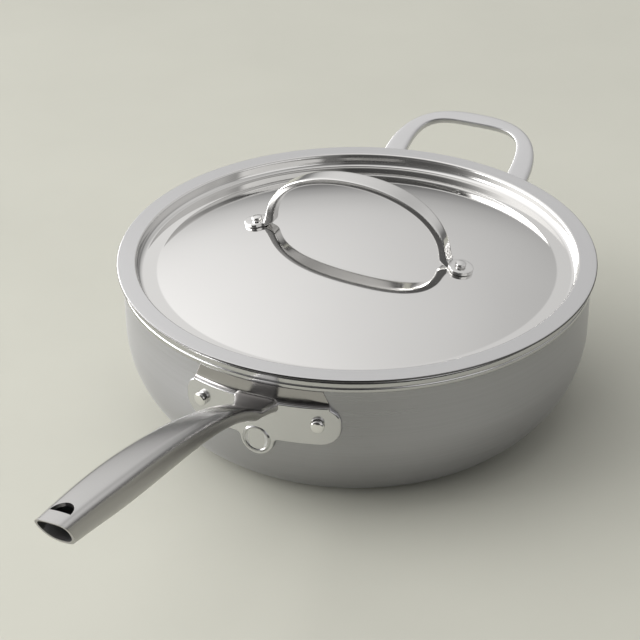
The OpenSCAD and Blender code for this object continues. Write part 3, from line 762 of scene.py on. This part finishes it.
def build_plate(s, width, long):
    """A plate that hugs the wall and faces +X; the long handle's also has the cove up to the lip."""
    p = s.plates
    edge, edge_steps, columns, cove_steps = p.edge_r, 4, 64, 14
    # The least that the metal measures, and how far behind the front a face counts as the rounded edge
    least_t, edge_from = 0.2 * MM, 0.12 * MM
    ring = plate_outline(s, width, long)
    bm = bmesh.new()
    face = bm.faces.new([bm.verts.new((0, y, z)) for y, z in ring])
    a = math.pi / (2 * edge_steps)
    for k in range(edge_steps):
        bmesh.ops.inset_region(bm, faces=[face], thickness=edge * (math.cos(a * k) - math.cos(a * (k + 1))),
                               use_boundary=True, use_even_offset=True)
    cuts = [((0, -width / 2 + width * k / columns, 0), (0, 1, 0)) for k in range(1, columns)]
    levels = [p.top - edge * k / edge_steps for k in range(1, edge_steps + 1)]
    if long:
        levels += [p.top + p.cove_h * (1 - math.cos(math.pi / 2 * k / cove_steps)) for k in range(cove_steps)]
    for place, normal in cuts + [((0, 0, z), UP) for z in levels]:
        bmesh.ops.bisect_plane(bm, geom=bm.verts[:] + bm.edges[:] + bm.faces[:], dist=2 * WELD,
                               plane_co=place, plane_no=normal)
    ring = [Vector(q) for q in ring]
    front = set(push_out(bm, bm.faces[:]))
    for v in bm.verts:
        y, z = v.co.y, v.co.z
        back = wall_x(s, y) + PLATE_GAP
        if v not in front:
            v.co.x = back
            continue
        from_edge = edge_distance(Vector((y, z)), ring, edge)
        fall = edge - math.sqrt(max(0.0, edge ** 2 - (edge - from_edge) ** 2))
        if long and z >= p.top - edge and fall == 0:
            fall = plate_fall(s, z)
        elif long and z > p.top:
            fall = cove_front(s, z)
        v.co.x = max(plate_front_x(s, y) - fall, back + least_t)
    wear(bm, 1, lambda c: c.x < plate_front_x(s, c.y) - edge_from)
    return bm


def rivet(head_r, head_h, seat, deep, inner_r, inner_h):
    """A rivet along Z: a domed head from the height seat, a shank, and a flat head below -deep."""
    shank, edge, crown = head_r * 0.7, head_h * 0.34, head_h * 0.14
    low, inner_edge = -deep - inner_h, 0.2 * MM
    profile = [point(0, low), point(inner_r - inner_h, low), point(inner_r, -deep - inner_edge),
               point(inner_r, -deep), point(shank, -deep), point(shank, seat), point(head_r, seat)]
    profile += arc(head_r - edge, seat + head_h - crown - edge, edge, 0, 72, steps=8)
    return spin_profile(profile + [point(0, seat + head_h)], RIVET_STEPS)


class SAUTEPAN_OT_long_handle(bpy.types.Operator):
    """Builds the cast long handle: plate, cove, neck and hollow grip"""
    bl_idname = "saute_pan.long_handle"
    bl_label = "Long Handle"

    # Share of the grip's thickness that lies above its widest line
    TOP_SHARE = 0.33
    # How much wider than the line's half width the section is, and the powers that square its flanks
    WIDER, SIDE_POWER, LOW_POWER = 1.05, 0.8, 0.9
    # Where the flank's arc starts, in degrees: a small angle rounds a ridge over and a large one creases it
    SOFT_RIDGE, CRISP_RIDGE = 4, 26
    # Shares of the half width at which the two ridges stand
    NECK_RIDGE, GRIP_RIDGE = 0.8, 0.55

    def execute(self, context):
        s, look = sizes(), materials()
        self.plate(s, look)
        self.roundel(s, look)
        self.grip(s, look)
        return {"FINISHED"}

    def plate(self, s, look):
        bm = build_plate(s, s.plates.width, True)
        # Painted shade: the cove above the plate's top edge wears the dark steel
        wear(bm, 2, lambda c: c.z > s.plates.top)
        even_shading(finish_piece(bm, "long_handle_plate", PAN, "handle_steel", "long_handle", look["plate"],
                                  look["edge"], look["cove"]))

    def roundel(self, s, look):
        """A plain raised ring with a dished middle, where the plate's lobe is."""
        p = s.plates
        r, lift, ring_r, low, foot = p.roundel_r, 0.35 * MM, 0.5 * MM, -0.1 * MM, -0.8 * MM
        profile = [point(0, -0.25 * MM), point(r * 0.45, -0.22 * MM), point(r * 0.78, low)]
        profile += arc(r * 0.88, lift - ring_r, ring_r, 150, 20, steps=8)
        bm = spin_profile(profile + [point(r, low), point(r, foot), point(0, foot)], ROUNDEL_STEPS)
        wear(bm, 1, lambda c: c.to_2d().length < 0.72 * r)
        move(bm, moved(s.body.wall_r + p.thickness + PLATE_GAP, 0, p.top - p.height + p.roundel_up)
             @ turned_about("Y", math.pi / 2))
        finish_piece(bm, "long_handle_roundel", PAN, "handle_steel", "long_handle", look["edge"],
                     look["hollow"])

    def line(self, s):
        """The grip's top line as a Bezier curve, and its slope."""
        h, p = s.long_handle, s.plates
        start = Vector((s.body.wall_r + p.thickness + h.neck_out, 0, p.top + h.neck_up))
        end = Vector((h.tip_x, 0, h.tip_z))
        reach = end.x - start.x
        c1 = start + h.neck_pull * reach * Vector((math.cos(h.neck_slope), 0, math.sin(h.neck_slope)))
        c2 = end - h.tip_pull * reach * Vector((math.cos(h.tip_slope), 0, math.sin(h.tip_slope)))

        def at(u):
            return (1 - u) ** 3 * start + 3 * u * (1 - u) ** 2 * c1 + 3 * u * u * (1 - u) * c2 + u ** 3 * end

        def slope(u):
            d = (3 * (1 - u) ** 2 * (c1 - start) + 6 * u * (1 - u) * (c2 - c1) + 3 * u * u * (end - c2))
            return math.atan2(d.z, d.x)
        return at, slope

    def section(self, w, t, v, crisp, ridge_share):
        """A point on the grip's section for v once round: a flat top, two ridges and round flanks."""
        # The top's crown, and the share of a turn from the side up to a ridge
        crown, rim = 0.25 * MM, 10 / 64
        w *= self.WIDER
        ridge, fall = ridge_share * w, self.TOP_SHARE * t
        if v > 0.5:
            a = math.tau * v
            return (w * spow(math.cos(a), self.SIDE_POWER),
                    -fall + (t - fall) * spow(math.sin(a), self.LOW_POWER))
        q = min(v, 0.5 - v)
        if q > rim:
            y = ridge * (0.25 - q) / (0.25 - rim)
            z = -crown * (y / ridge) ** 2
        else:
            start = math.radians(self.SOFT_RIDGE + (self.CRISP_RIDGE - self.SOFT_RIDGE) * crisp)
            a = math.pi / 2 - (math.pi / 2 - start) * q / rim
            y = ridge + (w - ridge) * (math.sin(a) - math.sin(start)) / (1 - math.sin(start))
            z = -crown - (fall - crown) * (1 - math.cos(a) / math.cos(start))
        return (y if v <= 0.25 else -y), z

    def grip(self, s, look):
        """One skin: root, outside, rim at the oblique cut, and back in to the hollow's blind end."""
        h = s.long_handle
        at, slope = self.line(s)
        reach = h.tip_x - at(0).x
        tip = Vector((h.tip_x, 0, h.tip_z))
        cut = Vector((math.cos(h.tip_cut), 0, -math.sin(h.tip_cut)))
        root, outside, inside, columns = 24, 90, 60, 64
        rows = root + outside + inside + 2
        # The root is wider than the neck, which takes this share of the line to fade out with this power
        root_w, root_end, root_power = 3.2 * MM, 0.16, 2.5
        # It widens, rises and deepens more where it meets the plate, and reaches into the plate
        flare_w, flare_up, flare_down, into_plate = 1.6 * MM, 2.2 * MM, 0.6 * MM, 0.4 * MM
        # The wall thins by a share towards the mouth, and the rows start to lean towards the cut
        mouth_from, mouth_thinner, lean_from = 0.93, 0.45, 0.6
        # The blind end's share of the hollow's size, and how fast it opens to the full size
        blind, opening = 0.35, 12

        def swell(u, neck, full, tip_size):
            return neck + (full - neck) * ease(u, -0.1, h.peak) - (full - tip_size) * ease(u, h.peak, 1.1)

        def half_w(u):
            return swell(u, h.neck_w, h.grip_w, h.tip_w)

        def thick(u):
            return swell(u, h.neck_t, h.grip_t, h.tip_t)

        def ring_point(o, a, y, z):
            return Vector((o.x - z * math.sin(a), y, o.z + z * math.cos(a)))

        def outer(u, v):
            w = half_w(u) + root_w * max(0.0, 1 - u / root_end) ** root_power
            ridges = self.NECK_RIDGE - (self.NECK_RIDGE - self.GRIP_RIDGE) * ease(u, 0, 0.35)
            y, z = self.section(w, thick(u), v, 1 - ease(u, 0, 0.8), ridges)
            return ring_point(at(u), slope(u), y, z)

        def inner(u, v):
            wall = h.wall * (1 - mouth_thinner * ease(u, mouth_from, 1))
            y, z = self.section(half_w(u) - wall, thick(u) - 2 * wall, v, 0, self.GRIP_RIDGE)
            return ring_point(at(u), slope(u), y, z - wall)

        def end(skin, v):
            """Where a skin's line at v meets the cut, closed in on from the tip."""
            u, tries, pace = 1.0, 8, 0.9
            for _ in range(tries):
                u -= (skin(u, v) - tip).dot(cut) / (pace * reach)
            return u

        def flared(f, v):
            """The root's trumpet: f is 1 at the plate and 0 where the grip's line starts."""
            flare = 1 - math.sqrt(max(0.0, 1 - f * f))
            t = h.neck_t + flare_down * flare
            w = h.neck_w + root_w * (1 + 0.8 * f) + flare_w * flare
            y, z = self.section(w, t, v, 1, self.NECK_RIDGE)
            p = ring_point(at(0) + Vector((-h.neck_out * f, 0, -h.neck_up * f)), h.neck_slope * (1 - f), y, z)
            if v < 0.5:
                p.z += flare_up * flare * max(0.0, 1 + z / (self.TOP_SHARE * t))
            front = s.body.wall_r + s.plates.thickness
            p.x -= flare * (front - plate_front_x(s, y) + plate_fall(s, p.z))
            return p

        def place(u, v):
            row = round(u * rows)
            if row == 0:
                return flared(1, v) - Vector((into_plate, 0, 0))
            row -= 1
            if row < root:
                return flared(math.cos(math.pi / 2 * row / root), v)
            row -= root
            if row <= outside:
                f = row / outside
                return outer(f * (1 + (end(outer, v) - 1) * ease(f, lean_from, 1)), v)
            f = 1 - (row - outside - 1) / inside
            first = 1 - h.hollow_l / reach
            u = first + (end(inner, v) - first) * f
            middle = at(u) - Vector((0, 0, thick(u) / 2))
            return middle + (inner(u, v) - middle) * min(1.0, blind + opening * f)

        def in_hollow(c):
            """The hollow keeps its cast finish: its faces lie nearer to the grip's middle line."""
            u, starts, limit = clamp((c.x - at(0).x) / reach), 0.3, 0.72
            deep = thick(u) / 2
            down = (c.z - at(u).z + deep) / deep
            return u > starts and (c.y / half_w(u)) ** 2 + down ** 2 < limit

        bm = skin_tube(rows, columns, place)
        wear(bm, 1, in_hollow)
        piece = finish_piece(bm, "long_handle_grip", PAN, "handle_steel", "long_handle", look["grip"],
                             look["hollow"])
        self.cut_hole(piece, h)
        round_edges(piece, width=0.35 * MM, sharper_than=45)
        even_shading(piece)

    def cut_hole(self, piece, h):
        """Cuts the half-moon hanging hole through the top of the grip."""
        steps = 24
        bm = bmesh.new()
        ring = []
        for k in range(steps + 1):
            a = math.pi * k / steps
            ring.append(bm.verts.new((-h.hang_l * math.sin(a), -h.hang_w / 2 * math.cos(a), 0)))
        bmesh.ops.translate(bm, vec=(0, 0, h.grip_t), verts=push_out(bm, [bm.faces.new(ring)]))
        bmesh.ops.recalc_face_normals(bm, faces=bm.faces)
        move(bm, moved(h.tip_x, 0, h.tip_z) @ turned_about("Y", -h.tip_slope)
             @ moved(-h.hang_from_tip, 0, -h.grip_t / 2))
        cutter = mesh_object(bm, "hanging_hole")
        add_modifier(piece, "BOOLEAN", object=cutter, operation="DIFFERENCE", solver="EXACT")
        bpy.context.view_layer.update()
        done = bpy.data.meshes.new_from_object(piece.evaluated_get(bpy.context.evaluated_depsgraph_get()))
        piece.modifiers.clear()
        piece.data = done
        bpy.data.objects.remove(cutter)


class SAUTEPAN_OT_helper_handle(bpy.types.Operator):
    """Builds the helper handle: plate and rising loop"""
    bl_idname = "saute_pan.helper_handle"
    bl_label = "Helper Handle"

    def execute(self, context):
        s, look = sizes(), materials()
        h, p = s.helper, s.plates
        place = turned_about("Z", math.pi + h.turned)
        bm = build_plate(s, h.loop_w + 2 * h.plate_past, False)
        move(bm, place)
        even_shading(finish_piece(bm, "helper_handle_plate", PAN, "handle_steel", "helper_handle",
                                  look["plate"], look["edge"]))
        bm = skin_tube(rows=120, columns=32, place=self.bar(h))
        move(bm, place @ moved(s.body.wall_r + p.thickness, 0, p.top) @ turned_about("Y", -h.slope))
        even_shading(finish_piece(bm, "helper_handle_loop", PAN, "handle_steel", "helper_handle",
                                  look["loop"]))
        return {"FINISHED"}

    def bar(self, h):
        """Places a point of the bar in the loop's own plane, for u along it and v round it."""
        # Each leg is straight from behind the plate to the foot of the bow, over this share of u
        back_in, foot, leg = -14 * MM, 13 * MM, 0.1
        # The power that squares the bar's section
        square = 0.4

        def edge(a, reach, half, power):
            return (foot + (reach - foot) * spow(math.sin(a), 2 / power), half * spow(math.cos(a), 2 / power))

        def place(u, v):
            a = math.pi * clamp((u - leg) / (1 - 2 * leg))
            out = edge(a, h.loop_l, h.loop_w / 2, h.outer_power)
            inn = edge(a, h.loop_l - h.bow_w, h.loop_w / 2 - h.leg_w, h.inner_power)
            from_end = min(u, 1 - u)
            if from_end < leg:
                x = foot + (back_in - foot) * (leg - from_end) / leg
                out, inn = (x, out[1]), (x, inn[1])
            q = math.tau * v
            m = [(i + o) / 2 + (o - i) / 2 * spow(math.cos(q), square) for i, o in zip(inn, out)]
            return Vector((m[0], m[1], h.loop_t / 2 * (spow(math.sin(q), square) - 1)))
        return place


class SAUTEPAN_OT_lid_handle(bpy.types.Operator):
    """Builds the arched lid handle with its two riveted feet"""
    bl_idname = "saute_pan.lid_handle"
    bl_label = "Lid Handle"

    def execute(self, context):
        s, look = sizes(), materials()
        stations = self.stations(s)
        # What the legs, the top of the arch and the elbows have over the strap's own thickness
        leg_more, top_more, elbow_more = 2.8 * MM, 1.3 * MM, 1.6 * MM
        # The powers that square the strap's section, in its thickness and across it
        thick_power, wide_power = 0.3, 0.35

        def place(u, v):
            p, n, w, t = stations[round(u * (len(stations) - 1))]
            a = math.tau * v
            near = min(u, 1 - u)
            out = (t / 2 + (elbow(near) if v < 0.5 else thicker(near))) * spow(math.sin(a), thick_power)
            return p + n * out + Vector((w / 2 * spow(math.cos(a), wide_power), 0, 0))

        def thicker(near):
            """The strap is thicker than its flat feet, towards its inner side, and most so in the legs."""
            return ease(near, 0.135, 0.175) * (leg_more - (leg_more - top_more) * ease(near, 0.18, 0.36))

        def elbow(near):
            """The bend between foot and leg is filled out on its hollow side."""
            return elbow_more * ease(near, 0.115, 0.145) * (1 - ease(near, 0.15, 0.19))

        bm = skin_tube(rows=len(stations) - 1, columns=56, place=place)
        move(bm, turned_about("Z", s.lid.turned))
        arch = finish_piece(bm, "lid_handle_arch", LID, "handle_steel", "lid_handle", look["arch"])
        round_edges(arch, width=0.4 * MM, sharper_than=55)
        even_shading(arch)
        return {"FINISHED"}

    def stations(self, s):
        """The strap's middle line from foot to foot, with its outward direction, width and thickness."""
        h = s.lid_handle
        foot_y, half, bend, least_w = h.rivet_gap / 2, h.span / 2, 3.6 * MM, 0.02 * MM
        toe_steps, foot_steps, bend_steps, arch_steps = 12, 8, 10, 60
        lean = dome_slope(s, foot_y)
        inward = Vector((0, -math.cos(lean), math.sin(lean)))
        up = Vector((0, math.sin(lean), math.cos(lean)))
        middle = Vector((0, foot_y, dome_height(s, foot_y))) + up * (h.foot_t / 2)
        line = []
        for k in range(toe_steps + 1):
            a = math.pi / 2 * k / toe_steps
            line.append((middle - inward * (h.foot_r * math.cos(a)), 2 * h.foot_r * math.sin(a), h.foot_t))
        run = (foot_y - half - bend) / math.cos(lean)
        for k in range(1, foot_steps + 1):
            d = run * k / foot_steps
            round_w = 2 * math.sqrt(max(0.0, h.foot_r ** 2 - d * d))
            w = h.root_w + (round_w - h.root_w) * (1 - ease(d, 0.25 * h.foot_r, 0.95 * h.foot_r))
            line.append((middle + inward * d, w, h.foot_t))
        corner = middle + inward * run
        for k in range(1, bend_steps + 1):
            a = (math.pi / 2 - lean) * k / bend_steps
            line.append((corner + inward * (bend * math.sin(a)) + up * (bend * (1 - math.cos(a))), h.root_w,
                         h.foot_t + (h.strap_t - h.foot_t) * k / bend_steps))
        low = line[-1][0]
        rise = flange_top(s) + s.lid.dome_rise + h.over_dome - h.strap_t / 2 - low.z
        for k in range(1, arch_steps + 1):
            a = math.pi / 2 * k / arch_steps
            place = Vector((0, low.y * spow(math.cos(a), 2 / h.power),
                            low.z + rise * spow(math.sin(a), 2 / h.power)))
            line.append((place, h.root_w + (h.strap_w - h.root_w) * ease(math.sin(a), 0.15, 1), h.strap_t))
        line += [(Vector((0, -p.y, p.z)), w, t) for p, w, t in reversed(line[:-1])]
        made = []
        for k, (p, w, t) in enumerate(line):
            along = line[min(k + 1, len(line) - 1)][0] - line[max(k - 1, 0)][0]
            made.append((p, Vector((0, along.z, -along.y)).normalized(), max(w, least_w), t))
        return made


class SAUTEPAN_OT_rivets(bpy.types.Operator):
    """Builds the six rivets of the three handles"""
    bl_idname = "saute_pan.rivets"
    bl_label = "Rivets"

    def execute(self, context):
        s, look = sizes(), materials()
        self.pan_pair(s, look, "long_handle_rivets", s.rivets.long_gap, 0)
        self.pan_pair(s, look, "helper_handle_rivets", s.rivets.helper_gap, math.pi + s.helper.turned)
        self.lid_pair(s, look)
        return {"FINISHED"}

    def pan_pair(self, s, look, node, gap, turned):
        b, r = s.body, s.rivets
        half = math.asin(gap / 2 / b.wall_r)
        off = plate_axis(s) * math.sin(half)
        front = plate_axis(s) * math.cos(half) + math.sqrt(s.plates.front_r ** 2 - off * off)
        inside = b.wall_r - layers_t(b)
        deep = b.wall_r - math.sqrt(inside ** 2 - r.inner_r ** 2) + r.inner_gap
        for side, letter in ((-1, "a"), (1, "b")):
            bm = rivet(r.head_r, r.head_h, front - b.wall_r + HEAD_GAP, deep, r.inner_r, r.inner_h)
            move(bm, turned_about("Z", turned + side * half) @ moved(b.wall_r, 0, s.plates.top - r.down)
                 @ turned_about("Y", math.pi / 2))
            even_shading(finish_piece(bm, f"{node}_{letter}", PAN, "rivet_steel", node, look["rivet"]))

    def lid_pair(self, s, look):
        r, foot_t, y = s.rivets, s.lid_handle.foot_t, s.lid_handle.rivet_gap / 2
        # The flat head under the lid is a little wider than the head on top
        inner_r, inner_h = r.lid_head_r + MM, MM
        for side, letter in ((0, "a"), (math.pi, "b")):
            bm = rivet(r.lid_head_r, r.lid_head_h, foot_t, s.lid.sheet_t + r.inner_gap, inner_r, inner_h)
            move(bm, turned_about("Z", s.lid.turned + side) @ moved(0, y, dome_height(s, y))
                 @ turned_about("X", -dome_slope(s, y)))
            even_shading(finish_piece(bm, f"lid_handle_rivets_{letter}", LID, "rivet_steel",
                                      "lid_handle_rivets", look["rivet"]))


class SAUTEPAN_OT_studio(bpy.types.Operator):
    """Sets up the floor, the soft lights and the camera"""
    bl_idname = "saute_pan.studio"
    bl_label = "Studio"

    # Strength of the room's light where the World setting is 1
    ROOM = 1.9
    LAMP_COLOUR, ROOM_COLOUR = (1.0, 0.99, 0.97), (1, 0.99, 0.98)
    # What the lamps point at
    MIDDLE = Vector((0, 0, 0.05))

    def execute(self, context):
        st = sizes().studio
        self.floor(st)
        self.lights(st)
        self.world(st)
        self.camera(st)
        context.scene.view_settings.view_transform = "Standard"
        return {"FINISHED"}

    def floor(self, st):
        """A near floor that the steel mirrors, and a far one round it that it doesn't."""
        m, wires, shader = new_material("floor_plaster", st.floor, roughness=0.75, metallic=0.0)
        clouds = wires.noise(wires.coordinates("Object"), scale=3.2, detail=5, roughness=0.6)
        tinted(wires, shader, st.floor, clouds, depth=0.16)
        wires.feed(shader["Specular IOR Level"], 0.2)
        # Where the edges of the three by three fields lie along the depth and across it
        far, near_w, near_l = 12.0, 1.7, 3.0
        steps = {-1: (-far, -far), 0: (-st.floor_front, -near_w), 1: (near_l, near_w), 2: (far, far)}
        for name in ("floor", "far_floor"):
            bm = bmesh.new()
            bmesh.ops.create_grid(bm, x_segments=3, y_segments=3, size=1.5)
            near = [f for f in bm.faces if f.calc_center_median().length < 0.1]
            drop = near if name == "far_floor" else [f for f in bm.faces if f not in near]
            bmesh.ops.delete(bm, geom=drop, context="FACES")
            for v in bm.verts:
                v.co.x, v.co.y = steps[round(v.co.x + 0.5)][0], steps[round(v.co.y + 0.5)][1]
            move(bm, turned_about("Z", math.atan2(BACK[1], BACK[0])))
            floor = mesh_object(bm, name)
            floor.data.materials.append(m)
            floor.visible_glossy = name == "floor"

    def lights(self, st):
        """Three soft lights: place, width, height and power."""
        for name, place, width, height, power in (
                ("key_light", (0.55, -1.33, 1.35), 1.5, 1.2, st.key),
                ("top_light", (0, 0, 2), 1.4, 1.4, st.top),
                ("front_light", (1.1, -0.4, 0.9), 1.0, 0.8, st.fill)):
            data = bpy.data.lights.new(name, "AREA")
            data.shape = "RECTANGLE"
            data.size, data.size_y = width, height
            data.energy, data.color = power, self.LAMP_COLOUR
            light = add_object(name, data)
            light.location = place
            light.visible_glossy = False
            light.rotation_euler = (self.MIDDLE - Vector(place)).to_track_quat("-Z", "Y").to_euler()

    def world(self, st):
        """A soft room: brighter behind the pan on the left, darker low down and on the camera's side."""
        world = bpy.data.worlds.new("studio_world")
        bpy.context.scene.world = world
        world.use_nodes = True
        wires = Wiring(world.node_tree)
        way = wires.coordinates("Generated")

        def curve(axis, *points):
            """A strength along an axis, read at 0 against it, at 0.5 square to it and at 1 along it."""
            dot = wires.node("ShaderNodeVectorMath", {0: way, 1: axis}, operation="DOT_PRODUCT")["Value"]
            ramp = wires.nodes.new("ShaderNodeFloatCurve")
            line = ramp.mapping.curves[0]
            for _ in points[2:]:
                line.points.new(0.5, 0.5)
            for p, q in zip(line.points, points):
                p.location = q
                p.handle_type = "AUTO_CLAMPED"
            ramp.mapping.update()
            wires.feed(ramp.inputs["Value"], wires.math("MULTIPLY_ADD", dot, 0.5, 0.5))
            return ramp.outputs[0]

        side = curve(LEFT, (0, 0.45), (0.12, 0.42), (0.28, 0.33), (0.4, 0.40), (0.5, 0.47), (0.7, 0.65),
                     (1, 0.95))
        height = curve(UP, (0, 0.2), (0.5, 0.2), (0.56, 0.42), (0.61, 0.66), (0.71, 0.87), (1, 1))
        depth = curve(BACK, (0, 0.10), (0.07, 0.10), (0.2, 0.12), (0.33, 0.35), (0.45, 0.75), (0.56, 0.95),
                      (1, 1))
        # A little light from the room on the camera's right
        front = wires.product(curve(BACK, (0, 1), (0.38, 1), (0.5, 0), (1, 0)),
                              curve(LEFT, (0, 0.09), (0.3, 0.09), (0.42, 0.06), (0.47, 0), (1, 0)),
                              curve(UP, (0, 0), (0.5, 0.05), (0.56, 0.6), (0.66, 1), (1, 1)))
        # A pale card that stands low on the left
        card = wires.product(curve(BACK, (0, 0), (0.24, 0), (0.36, 1), (1, 1)),
                             curve(LEFT, (0, 0), (0.66, 0), (0.78, 1), (1, 1)),
                             curve(UP, (0, 0), (0.49, 0), (0.51, 1), (0.6, 1), (0.68, 0), (1, 0)))
        # A tall window on the camera's right
        window = wires.product(curve(WINDOW, (0, 0), (0.955, 0), (0.975, 1), (1, 1)),
                               curve(UP, (0, 0), (0.55, 0), (0.60, 1), (0.9, 1), (1, 0)))
        light = wires.math("ADD", wires.product(side, height, depth), front)
        light = wires.math("MULTIPLY_ADD", card, st.card, light)
        light = wires.math("MULTIPLY_ADD", window, st.window, light)
        room = wires.nodes["Background"].inputs
        wires.feed(room["Strength"], wires.product(light, self.ROOM * st.world))
        wires.feed(room["Color"], self.ROOM_COLOUR)

    def camera(self, st):
        data = bpy.data.cameras.new("camera")
        data.lens = st.lens
        data.sensor_width = 36
        data.clip_end = 40
        camera = add_object("camera", data)
        camera.location = (st.camera_x, st.camera_y, st.camera_z)
        camera.rotation_euler = (st.tilt, st.roll, st.pan)
        bpy.context.scene.camera = camera


class SautePanSizes(bpy.types.PropertyGroup):
    body: PointerProperty(type=SautePanBody)
    lid: PointerProperty(type=SautePanLid)
    lid_handle: PointerProperty(type=SautePanLidHandle)
    plates: PointerProperty(type=SautePanPlates)
    long_handle: PointerProperty(type=SautePanLongHandle)
    helper: PointerProperty(type=SautePanHelper)
    rivets: PointerProperty(type=SautePanRivets)
    finish: PointerProperty(type=SautePanFinish)
    studio: PointerProperty(type=SautePanStudio)


GROUPS = (SautePanBody, SautePanLid, SautePanLidHandle, SautePanPlates, SautePanLongHandle, SautePanHelper,
          SautePanRivets, SautePanFinish, SautePanStudio)
OPERATORS = (SAUTEPAN_OT_body, SAUTEPAN_OT_lid, SAUTEPAN_OT_long_handle, SAUTEPAN_OT_helper_handle,
             SAUTEPAN_OT_lid_handle, SAUTEPAN_OT_rivets, SAUTEPAN_OT_studio)


class SAUTEPAN_PT_panel(bpy.types.Panel):
    """Lists the sizes and the pieces of the saute pan"""
    bl_idname = "SAUTEPAN_PT_panel"
    bl_label = "Saute Pan"
    bl_space_type = "VIEW_3D"
    bl_region_type = "UI"
    bl_category = "Saute Pan"

    def draw(self, context):
        for operator in OPERATORS:
            self.layout.operator(operator.bl_idname)
        for group in SautePanSizes.__annotations__:
            box = self.layout.box()
            box.label(text=group.replace("_", " ").title())
            values = getattr(context.scene.saute_pan, group)
            for value in values.__annotations__:
                box.prop(values, value)


CLASSES = (*GROUPS, SautePanSizes, *OPERATORS, SAUTEPAN_PT_panel)


def register():
    for c in CLASSES:
        bpy.utils.register_class(c)
    bpy.types.Scene.saute_pan = PointerProperty(type=SautePanSizes)


def unregister():
    del bpy.types.Scene.saute_pan
    for c in reversed(CLASSES):
        bpy.utils.unregister_class(c)


def main():
    register()
    bpy.ops.saute_pan.body()
    bpy.ops.saute_pan.lid()
    bpy.ops.saute_pan.long_handle()
    bpy.ops.saute_pan.helper_handle()
    bpy.ops.saute_pan.lid_handle()
    bpy.ops.saute_pan.rivets()
    bpy.ops.saute_pan.studio()


if __name__ == "__main__":
    main()
